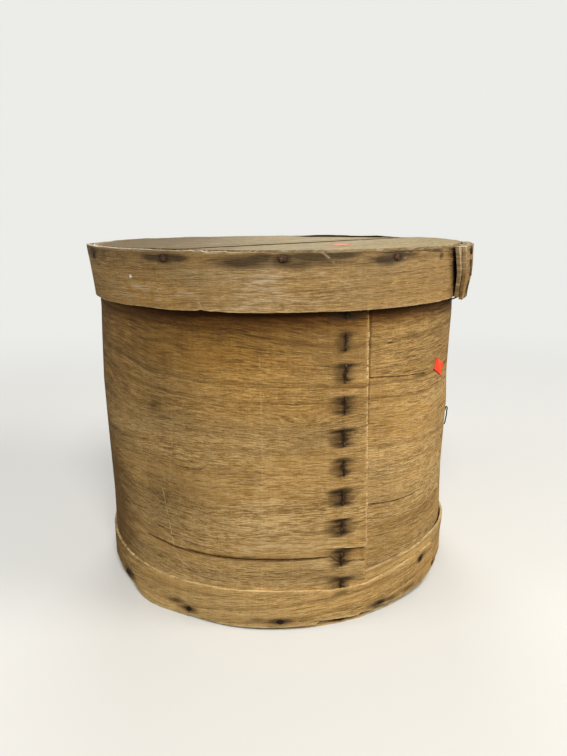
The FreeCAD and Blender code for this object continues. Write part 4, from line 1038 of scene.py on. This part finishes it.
def finishHoop(sheet, seed, isHoop):
    bearing, height, share, outside = recallAll(sheet, "bearing", "height", "share", "outside")
    turned, around = fold(bearing), bearing * 2.6
    along = np.radians(bearing) * lid["flatRadius"] * mm
    layUV(sheet, "flat", along, (height - 228) * mm)
    slope = 1.6 * ripple(bearing, 0, seed) - 0.02 * np.radians(turned) * lid["flatRadius"]
    layUV(sheet, "grain", along, (height - 228 + slope) * mm)

    def near(place, width):
        return bump(turned, place, width)

    # painted shade on the wood just in front of the lap's end: brown, and black right against it, in the gap
    # under the lap's sprung end
    fromLap = bearing - lid["lapEnd"] - lid["lapSlant"] * (1 - share)
    isUnder = (bearing > 40) & (bearing < 90) & isHoop
    onTop, upper = soft(share, 0.985, 0.998), soft(share, 0.6, 0.95)
    # painted shade: the inner face behind the rear of the lid is dark
    black = blots(lid["black"], bearing, height) * outside
    black += 0.9 * (1 - outside) * soft(share, 0.5, 0.8) * soft(turned, 118, 130)
    black = np.maximum(black, 0.95 * isUnder * soft(fromLap, -1.0, -0.2)) * (1 - onTop * soft(turned, 40, 50))
    rim = 0.12 + 0.45 * near(-55, 30) + 0.3 * soft(turned, 50, 60) + 0.2 * wobble(around, 3, seed + 2)
    rim = onTop * (rim + 0.6 * near(-13.5, 8)) + 0.5 * near(-48, 24) * soft(share, 0.95, 0.985)
    grimeAndShade = 0.6 * onTop * (1 - near(-13.5, 8)) * (1 - 0.8 * near(-52, 32)) * (1 - 0.6 * soft(turned, 45, 60))
    # painted shade on the left; darker too on the upper part, at the back and on the inner face
    grimeAndShade += 0.5 * near(-75, 42) + 0.35 * upper * (0.6 + 0.4 * ripple(bearing, 0, seed + 3))
    grimeAndShade += 0.35 * bump(np.abs(turned), 180, 60) + 0.5 * (1 - outside)
    grimeAndShade += 0.7 * isUnder * soft(fromLap, -5.5, -1.2)
    if isHoop:
        ends = soft(bearing, -299.6, -300.6)
    else:
        ends = soft(bearing, 61.8, 57.5) * soft(-bearing, -60.5 - 1.5 * (1 - share), -58)
    lit = 0.12 * near(-2, 18) * soft(share, 0.6, 0.2) - 0.2 * near(-36, 16) * soft(share, 0.35, 0.75)
    lit -= 0.18 * near(-30, 13) * bump(height, 253, 8) + 0.14 * near(-14, 12) * soft(height, 258, 262)
    paint(sheet, {
        "stain": blots(lid["rust"], bearing, height) * (0.3 + 0.7 * outside), "black": black, "grimeAndShade": grimeAndShade,
        "worn": np.maximum(blots(lid["rubbed"], bearing, height) * outside, rim),
        "amber": 0.35 * near(-32, 18) * soft(share, 0.9, 0.2) + 0.15 * near(45, 35),
        "edge": 0.85 * soft(share, 0.02, 0.004) * outside * (0.8 + 0.2 * wobble(around, 7, seed + 1)),
        "torn": 0.6 * ends + 0.8 * near(-13.5, 7.5) * soft(share, 0.93, 1.0),
        "lit": lit - 0.1 * near(26, 20) * soft(share, 0.45, 0.8),
    })
    for kind in ("rub", "crack"):
        traceMarks(sheet, kind, lid[kind], lid["flatRadius"])


hoopLook = dict(
    woodTones, height=45.0,
    lines=[(7, 0.3, 1.2), (15, 0.35, 1.2), (23, 0.25, 1.0), (31, 0.35, 1.4), (38, 0.2, 1.2)],
    dark=(110, 84, 48), middle=(158, 127, 79), light=(180, 148, 97), pale=(204, 176, 126),
    grey=(150, 132, 102), greyShare=0.45, contrast=1.2, drift=0.005, worn=(200, 182, 150),
    torn=(196, 174, 136), edge=(206, 182, 140), grimeAndShade=(122, 104, 78), rub=(196, 176, 138), crack=(58, 42, 26),
    pores=0.5, fleck=(244, 240, 228), fleckAt=(math.radians(-40.1) * 0.152, 0.0222),
)
hoopVeneer = veneerMaterial("hoopVeneer", hoopLook)
lidHoop = makeLidHoop()
finishHoop(lidHoop, 71, True)
lapStrip = makeLapStrip()
finishHoop(lapStrip, 75, False)
dress(lidHoop, hoopVeneer, "lid", "hoop_veneer", "lid_hoop")
dress(lapStrip, hoopVeneer, "lid", "hoop_veneer", "lid_lap_strip")


# the lid's two boards

boards = {
    "radius": 149.24, "low": 259.0, "high": 269.0, "squareTo": 47.0, "offset": 46.5, "open": 0.9,
    "slice": 6.0,
    # piece: side of the joint, how far it stands up, seed, CAD node
    "pieces": {
        "lidBoardNarrow": (1, -0.1, 81, "lid_board_narrow"),
        "lidBoardWide": (-1, 0.35, 91, "lid_board_wide"),
    },
}


def boardAxes():
    angle = math.radians(boards["squareTo"])
    across = np.array([math.sin(angle), -math.cos(angle)])  # towards the narrow board
    return across, np.array([-across[1], across[0]])


def sliceMesh(place, normal, **options):
    bpy.ops.mesh.select_all(action="SELECT")
    bpy.ops.mesh.bisect(plane_co=(*(place * mm), boards["high"] * mm), plane_no=(*normal, 0), **options)


def boardWarp(rise, seed, run, over):
    return rise + 0.35 * wobble(over, 31, seed + 3) * np.cos(run / 70) + 0.12 * wobble(over, 9, seed + 4)


def fromCentre(spots):
    # the distance in mm from the lid's axis, and the bearing
    flat = spots[:, :2] - lid["centre"]
    return np.hypot(flat[:, 0], flat[:, 1]), np.degrees(np.arctan2(flat[:, 0], -flat[:, 1]))


def makeBoard(name, sideSign, rise, seed):
    across, along = boardAxes()
    centre = np.array(lid["centre"])
    reach, joint = boards["radius"], boards["offset"] + sideSign * boards["open"] / 2
    pickNone()
    bpy.ops.mesh.primitive_circle_add(vertices=180, radius=reach * mm, fill_type="NGON",
                                      location=(*(centre * mm), boards["high"] * mm))
    board = named(bpy.context.object, name)
    bpy.ops.object.transform_apply(location=True, rotation=False, scale=False)
    bpy.ops.object.mode_set(mode="EDIT")
    sliceMesh(centre + across * joint, across, clear_inner=sideSign > 0, clear_outer=sideSign < 0)
    for step in np.arange(-reach + 3, reach, boards["slice"]):
        for way in (along, across):
            sliceMesh(centre + way * step, way)
    for step in (1.5, 3.5):
        sliceMesh(centre + across * (joint + sideSign * step), across)
    mergeDoubles(0.05)
    bpy.ops.mesh.normals_make_consistent(inside=False)
    bpy.ops.object.mode_set(mode="OBJECT")
    if board.data.polygons[0].normal.z < 0:
        bpy.ops.object.mode_set(mode="EDIT")
        bpy.ops.mesh.flip_normals()
        bpy.ops.object.mode_set(mode="OBJECT")
    spots = points(board)
    away, angle = fromCentre(spots / mm)
    flat, around = spots[:, :2] / mm - centre, angle * 2.6
    run, over = flat @ along, flat @ across
    rim = soft(away, reach - 2, reach - 0.2)
    flat = flat * (1 + (rim * (0.25 * wobble(around, 4, seed) - 0.2) / np.maximum(away, 1)))[:, None]
    fromJoint = np.abs(over - joint)
    edge = soft(fromJoint, 1.2, 0)
    closed = soft(away, 132, 144) * (angle < 0)  # the joint is tight where it meets the front of the rim
    gap = 0.35 + 0.35 * wobble(run, 7, seed + 1) + 0.2 * wobble(run, 2.5, seed + 2)
    over = over + sideSign * edge * (gap * (1 - closed) - 0.35 * closed)
    flat = np.where(edge[:, None] > 0, np.outer(run, along) + np.outer(over, across), flat)
    lift = boardWarp(rise, seed, run, over) - 0.15 * edge
    lift -= 0.2 * rim * soft(wobble(around, 11, seed + 5), 0.1, 0.9)
    if sideSign < 0:
        # the wide board falls away behind, and most where the hoop's rim stands above it
        lift -= 1.6 * soft(fromJoint, 30, 190) + 0.4 * bump(angle, -62, 34) * soft(away, 60, 140)
        lift -= 2.4 * soft(angle, 106, 140) * soft(angle, 180, 160) * soft(away, 80, 146)
    movePoints(board, np.column_stack([flat + centre, boards["high"] + lift]) * mm)
    keep(board, "run", run)
    keep(board, "over", over)
    thicken(board, boards["high"] - boards["low"], False)
    spots = points(board)
    spots[:, 2] = np.maximum(spots[:, 2], boards["low"] * mm)  # nothing reaches into the side below
    movePoints(board, spots)
    applyModifier(board, "BEVEL", width=0.7 * mm, segments=2, limit_method="ANGLE",
                  angle_limit=math.radians(50))
    return board


def finishBoard(board, sideSign, seed):
    run, over = recallAll(board, "run", "over")
    spots = points(board) / mm
    left, depth = -spots[:, 0], boards["high"] - spots[:, 2]
    away, angle = fromCentre(spots)
    up, around, reach = over + 160 + depth, angle * 2.6, boards["radius"]
    layUV(board, "flat", (run + 200) * mm, up * mm)
    bent = up + 5 * np.sin(run / 60 + seed) + 3 * np.sin(over / 37) + 40 * sideSign
    layUV(board, "grain", (run + 200 + 400 * sideSign) * mm, bent * mm)
    rim = soft(away, reach - 5, reach)
    fromJoint = np.abs(over - boards["offset"])
    wall = soft(depth, 0.1, 0.7) * soft(away, reach - 2.5, reach - 1.5)
    closed = soft(away, 132, 144) * (angle < 0)
    onLeft = wall * soft(angle, 6, -10)
    onFace = rim * soft(depth, 2, 0)
    worn = 0.3 * onFace * soft(wobble(around, 8, seed + 1), 0, 0.6)
    worn += onLeft * (0.6 + 0.2 * wobble(around, 14, seed + 3))
    grimeAndShade = 0.65 * soft(fromJoint, 1.9, 0.5) + 0.66 * soft(left, -60, 100) + 0.06 * soft(left, -60, -10)
    # painted shade on the boards' edge walls in the slot along the hoop, except on the left
    paint(board, {
        "grimeAndShade": grimeAndShade + 0.8 * wall * soft(angle, 20, 30) + 0.25 * rim - 0.6 * onLeft,
        "stain": 0.3 * rim * (1 - onLeft) * soft(wobble(around, 16, seed), 0.2, 0.8),
        "worn": worn,
        "torn": 0.4 * onFace * soft(wobble(around, 5, seed + 2), 0.4, 0.8),
        "black": 0.95 * soft(fromJoint, 1.6, 0.9) * soft(depth, -0.5, 0.1) * (1 - 0.8 * closed),
        "amber": 0.65 * soft(left, -20, 90), "lit": 0.6 * onLeft,
    })


boardLook = dict(
    woodTones, height=400.0,
    lines=[(40, 0.3, 2), (78, 0.35, 2.5), (120, 0.3, 2), (156, 0.4, 2), (190, 0.3, 2), (222, 0.35, 2.5),
           (260, 0.3, 2), (305, 0.35, 2), (350, 0.3, 2)],
    dark=(102, 87, 56), middle=(142, 126, 89), light=(163, 147, 109), pale=(188, 173, 134),
    grey=(132, 118, 86), line=(104, 82, 52), pore=(86, 70, 46), fibre=(208, 196, 166), warm=(176, 148, 102),
    warmShare=0.2, greyShare=0.45, worn=(204, 192, 164), torn=(212, 196, 162), grimeAndShade=(122, 107, 74),
    contrast=1.4, relief=0.7, gloss=0.06,
)
lidWood = veneerMaterial("lidWood", boardLook)
for name, (sideSign, rise, seed, node) in boards["pieces"].items():
    board = makeBoard(name, sideSign, rise, seed)
    finishBoard(board, sideSign, seed)
    dress(board, lidWood, "lid", "lid_wood", node)


# staples, nails and labels

metals = {
    # deep, plain and bright rust, bare steel, and how little of the steel shows
    "rustyWire": ((22, 15, 11), (46, 32, 22), (78, 55, 38), (98, 86, 72), 0.56),
    "darkWire": ((20, 15, 12), (40, 28, 21), (70, 48, 34), (80, 72, 64), 0.7),
    "rustyNail": ((40, 27, 17), (78, 56, 38), (118, 90, 62), (110, 96, 80), 0.7),
    "darkNail": ((20, 14, 11), (42, 30, 22), (66, 47, 33), (70, 62, 54), 0.68),
}


def metalMaterial(name):
    *rusts, steel, hidden = metals[name]
    material, shader = newMaterial(name)
    place = objectPlace()
    crust = streaks(place, 900, 900, 4.0, 0.65, 2.0)
    patches = streaks(place, 260, 260, 3.0, 0.55, 8.0)
    colour = ramp(crust, [(spot, tint(*rust)) for spot, rust in zip((0.3, 0.5, 0.7), rusts)])
    bare = eased(patches, hidden, hidden + 0.08)
    colour = mixed(bare, colour, tint(*steel))
    # the rim of a nail head is painted dark, a painted shadow
    colour = mixed(attribute("rim"), colour, tint(18, 12, 9))
    feed(shader, {"Metallic": times(bare, 0.3)})
    finishShader(shader, colour, eased(crust, 0.3, 0.7, 0.6, 0.9), 0.12, crust, 0.6, 0.0003)
    return material


def bendWire(path, wide, thick):
    # a wire through the points of path, in mm out of the wall and up, or sideways, out and up
    data = bpy.data.curves.new("wire", "CURVE")
    data.dimensions = "3D"
    line = data.splines.new("NURBS")
    line.points.add(len(path) - 1)
    for spot, values in zip(line.points, path):
        *sideways, out, up = values
        spot.co = (sum(sideways) * mm * thick / wide, out * mm, up * mm, 1)
    line.order_u = 3
    line.use_endpoint_u = True
    line.resolution_u = 5
    data.bevel_depth = thick / 2 * mm
    data.bevel_resolution = 2
    data.use_fill_caps = True
    wire = bpy.data.objects.new("wire", data)
    bpy.context.scene.collection.objects.link(wire)
    pickOnly(wire)
    bpy.ops.object.convert(target="MESH")
    wire = bpy.context.object
    wire.data.transform(Matrix.Diagonal((wide / thick, 1, 1, 1)))
    bpy.ops.object.mode_set(mode="EDIT")
    mergeDoubles(0.005)
    bpy.ops.mesh.normals_make_consistent(inside=False)
    bpy.ops.object.mode_set(mode="OBJECT")
    return wire


def stand(bearing, height, radius, centre=(0.0, 0.0), lean=0.0, turn=0.0):
    # a place on the round wall: x runs left along it, y out of it and z up
    angle = math.radians(bearing)
    left = Vector((-math.cos(angle), -math.sin(angle), 0))
    out = Vector((math.sin(angle), -math.cos(angle), 0))
    spot = Vector((*centre, height)) + out * radius
    axes = Matrix((left, out, (0, 0, 1))).transposed().to_4x4()
    turns = Matrix.Rotation(math.radians(turn), 4, "Y") @ Matrix.Rotation(math.radians(lean), 4, "X")
    return Matrix.Translation(spot * mm) @ axes @ turns


def placed(pattern, name, matrices):
    # copies of the pattern, each with its own mesh, joined into one piece
    pickNone()
    for matrix in matrices:
        data = pattern.data.copy()
        data.transform(matrix)
        copy = bpy.data.objects.new(name, data)
        bpy.context.scene.collection.objects.link(copy)
        copy.select_set(True)
    bpy.context.view_layer.objects.active = bpy.context.selected_objects[0]
    bpy.data.objects.remove(pattern)
    bpy.ops.object.join()
    return named(bpy.context.object, name)


chance = np.random.default_rng(17)


def seamSpot(index, lift):
    up = staple["firstHeight"] + staple["pitch"] * index + lift
    at = staple["bearing"] + chance.uniform(-0.18, 0.18)
    radius = side["radius"] + side["pitch"] + sideBulge(at, up) + chance.uniform(-0.3, 0.25)
    return stand(at, up + chance.uniform(-0.5, 0.5), radius, lean=chance.uniform(-1.5, 1.5),
                 turn=chance.uniform(-3.0, 3.0))


def stripRadius(height):
    share = (height - strip["low"]) / (strip["high"] - strip["low"])
    return strip["lowRadius"] + (strip["highRadius"] - strip["lowRadius"]) * share


# the half-pulled staple's upper leg is bent back on itself
pulled = [(-2.4, 4.6), (0.1, 4.7), (0.9, 5.4), (0.8, 7.3), (1.7, 8.2), (2.5, 6.6), (1.9, 4.4), (2.1, 2.0),
          (1.7, -1.5), (1.2, -5.0), (0.9, -7.3), (0.1, -7.7), (-2.4, -7.3)]
# a bent leg sticks out below the lid's lap
strayLeg = [(-1.2, 0.2, 2.6), (0.3, 0.4, 1.2), (3.0, -0.6, 0.6), (7.5, -2.6, -0.2), (11.8, -4.2, -0.9)]
stapleGauge, footLap = (staple["wide"], staple["thick"]), foot["radius"] + foot["pitch"]
wireMetal, darkWire = metalMaterial("rustyWire"), metalMaterial("darkWire")
wires = [
    # piece, path, width and thickness, places, material, body, CAD nodes
    ("seamStaples", staple["crown"], stapleGauge,
     [seamSpot(index, pick[3]) for index, pick in enumerate(staple["picks"])],
     wireMetal, "box", ["seam_staples"]),
    ("footHoopStaples", staple["crown"], stapleGauge,
     [stand(48.8, 11.6, footLap - 1.05, turn=2), stand(48.5, 25.6, footLap - 0.75, turn=-24, lean=-5)],
     wireMetal, "box", ["foot_hoop_staples"]),
    ("lidLapStaples", staple["crown"], stapleGauge,
     [stand(65.3, 235.6, stripRadius(235.6) + 1.0, lid["centre"], turn=-3, lean=-6),
      stand(65.3, 251.3, stripRadius(251.3) + 1.75, lid["centre"], turn=8, lean=2)],
     wireMetal, "lid", ["lid_lap_staples"]),
    ("looseStaple", pulled, (1.3, 1.0),
     [stand(75.6, 125.6, side["radius"] + sideBulge(76.0, 128.0) - 0.5, turn=2)],
     darkWire, "box", ["loose_staple"]),
    ("lidStrayLeg", strayLeg, (1.1, 1.1), [stand(61.7, 229.6, 153.6, lid["centre"])], darkWire, "lid", []),
]
for name, path, gauge, matrices, metal, body, nodes in wires:
    dress(placed(bendWire(path, *gauge), name, matrices), metal, body, "rusty_wire", *nodes)
print("staples")

nail = {"radius": 2.65, "tall": 1.6, "sunk": 0.45,
        "steps": ((0.35, 0.24), (0.6, 0.176), (0.7, 0.096), (0.5, 0.024)),
        "footPlaces": [(1, 7.2), (31, 8.6), (61, 7.5), (91, 7), (121, 7), (151, 7), (181, 7), (211, 7),
                       (241, 7), (272, 7), (-56, 8.4), (-26.2, 6.3)]}


def makeNailHead():
    pickNone()
    bpy.ops.mesh.primitive_cylinder_add(vertices=20, radius=nail["radius"] * mm, depth=nail["tall"] * mm,
                                        location=(0, 0, -nail["tall"] / 4 * mm))
    head = bpy.context.object
    bpy.ops.object.transform_apply(location=True, rotation=False, scale=False)
    bpy.ops.object.mode_set(mode="EDIT")
    bpy.ops.mesh.select_mode(type="FACE")
    bpy.ops.mesh.select_all(action="DESELECT")
    bpy.ops.object.mode_set(mode="OBJECT")
    for face in head.data.polygons:
        face.select = face.normal.z > 0.9
    bpy.ops.object.mode_set(mode="EDIT")
    for width, rise in nail["steps"]:
        bpy.ops.mesh.inset(thickness=width * mm, depth=rise * mm)
    bpy.ops.object.mode_set(mode="OBJECT")
    spots = points(head) / mm
    angle = np.degrees(np.arctan2(spots[:, 1], spots[:, 0]))
    away = np.hypot(spots[:, 0], spots[:, 1])
    # a painted shadow round the rim of each head
    keep(head, "rim", 0.9 * soft(away, 2.0, 2.6))
    spots[:, :2] *= (1 + 0.06 * wobble(angle + 400, 50, 5) * soft(away, 1.5, 2.6))[:, None]
    spots[:, 2] += np.where(spots[:, 2] > 0.3, 0.12 * wobble(spots[:, 0] * 3 + spots[:, 1] * 5, 2.0, 6), 0)
    movePoints(head, spots * mm)
    return head


def nailSpot(bearing, height, radius, centre=(0.0, 0.0), lean=0.0):
    # the head's axis points out of the wall
    outward = Matrix.Rotation(math.radians(-90), 4, "X")
    spin = Matrix.Rotation(math.radians(chance.uniform(0, 360)), 4, "Z")
    return stand(bearing, height, radius - nail["sunk"], centre, lean) @ outward @ spin


def lidNailSpot(bearing):
    # past bearing 57 the hoop's outer turn is the one before, and one nail stands on the lap's strip
    radius = hoopRadius(bearing - 360.0 if bearing > 57 else bearing, 263.6)
    if bearing == 65.5:
        radius = stripRadius(263.6) + 0.9
    lean = chance.uniform(-6, 6)
    height = 263.7 + chance.uniform(-0.4, 0.4)
    return nailSpot(bearing, height, radius + chance.uniform(-0.1, 0.2), lid["centre"], lean)


def footNailSpot(bearing, height):
    turn = bearing % 360 + (360 if bearing % 360 < 56.9 else 0)
    radius = footRadius(turn, height) - (1.45 if bearing == 31 else 0.25)
    return nailSpot(bearing, height, radius, lean=chance.uniform(-8, 8))


lidPlaces = [lidNailSpot(bearing) for bearing in nailTurns["front"] + nailTurns["rear"]]
lidNails = placed(makeNailHead(), "lidNails", lidPlaces)
dress(lidNails, metalMaterial("rustyNail"), "lid", "rusty_nails", "lid_nails")
footPlaces = [footNailSpot(*place) for place in nail["footPlaces"]]
footNails = placed(makeNailHead(), "footNails", footPlaces)
dress(footNails, metalMaterial("darkNail"), "box", "rusty_nails", "foot_nails")
print("nails")

labels = {
    "long": 19.0, "short": 9.5, "thick": 0.15, "onSide": (58.3, 177.6), "sideTurn": 155,
    "onLid": (47.5, -81.0), "lidTurn": 67.0, "fresh": ((236, 62, 36), (252, 80, 46), (255, 110, 72)),
    "faded": ((200, 104, 82), (216, 118, 96), (222, 136, 112)),
}


def labelPaper(name, matrix, bend, curl):
    # a blank label; bend(x, y) gives how far a point lies off the flat, in mm
    pickNone()
    bpy.ops.mesh.primitive_grid_add(x_subdivisions=24, y_subdivisions=12, size=1, calc_uvs=False)
    label = named(bpy.context.object, name)
    spots = points(label)
    across, up = spots[:, 0] * labels["long"], spots[:, 1] * labels["short"]
    corner = soft(2 * np.abs(spots[:, 0]) + 2 * np.abs(spots[:, 1]), 1.35, 2.0)
    crease = 0.25 * bump(across, 3.2, 0.8) + 0.12 * wobble(across, 4, 31)
    movePoints(label, np.stack([across, up, bend(across, up) + 0.12 + curl * corner + crease], axis=1) * mm)
    applyModifier(label, "SOLIDIFY", thickness=labels["thick"] * mm, offset=1.0)
    label.data.transform(matrix)
    label.data.update()
    return label


def labelMaterial(name, tones, glow):
    material, shader = newMaterial(name)
    place = objectPlace()
    fade = streaks(place, 140, 140, 3.0, 0.6, 4.0)
    colour = ramp(fade, [(spot, tint(*tone)) for spot, tone in zip((0.3, 0.52, 0.72), tones)])
    fibres = streaks(place, 2600, 2600, 2.0, 0.5, 1.0)
    finishShader(shader, colour, eased(fade, 0.3, 0.7, 0.6, 0.75), 0.1, fibres, 0.15, 0.0001)
    feed(shader, {"Emission Color": tint(255, 60, 36), "Emission Strength": glow})
    return material


def hug(across, up):
    # distance from the flat to the round wall, for a label turned on it
    turn = math.radians(180 - labels["sideTurn"])
    level = across * math.cos(turn) + up * math.sin(turn)
    return np.sqrt(side["radius"] ** 2 - level ** 2) - side["radius"]


def lieOnBoard(across, up):
    turn = math.radians(labels["lidTurn"])
    right = labels["onLid"][0] + across * math.cos(turn) - up * math.sin(turn) - lid["centre"][0]
    back = labels["onLid"][1] + across * math.sin(turn) + up * math.cos(turn) - lid["centre"][1]
    square, along = boardAxes()
    _, rise, seed, _ = boards["pieces"]["lidBoardNarrow"]
    return boardWarp(rise, seed, right * along[0] + back * along[1], right * square[0] + back * square[1])


sideMatrix = stand(*labels["onSide"], side["radius"]) @ Matrix.Rotation(math.radians(-90), 4, "X")
sideMatrix = sideMatrix @ Matrix.Rotation(math.radians(labels["sideTurn"]), 4, "Z")
lidMatrix = Matrix.Translation(Vector((*labels["onLid"], boards["high"])) * mm)
lidMatrix = lidMatrix @ Matrix.Rotation(math.radians(labels["lidTurn"]), 4, "Z")
paper = labelMaterial("labelPaper", labels["fresh"], 0.12)
fadedPaper = labelMaterial("fadedLabelPaper", labels["faded"], 0.02)
dress(labelPaper("sideLabel", sideMatrix, hug, 0.5), paper, "box", "label_paper", "side_label")
dress(labelPaper("lidLabel", lidMatrix, lieOnBoard, 0.15), fadedPaper, "lid", "label_paper", "lid_label")
print("labels")


# the bottom boards keep their own shape
bottomLook = dict(
    boardLook, turned=math.radians(-47.0), dark=(120, 96, 62), middle=(164, 138, 98), light=(184, 158, 116),
    pale=(204, 180, 140), grey=(150, 134, 106), greyShare=0.3,
)
bottomWood = veneerMaterial("bottomWood", bottomLook)
for node in ("bottom_board_wide", "bottom_board_narrow"):
    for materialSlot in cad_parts[node].material_slots:
        materialSlot.material = bottomWood
print("bottom boards")
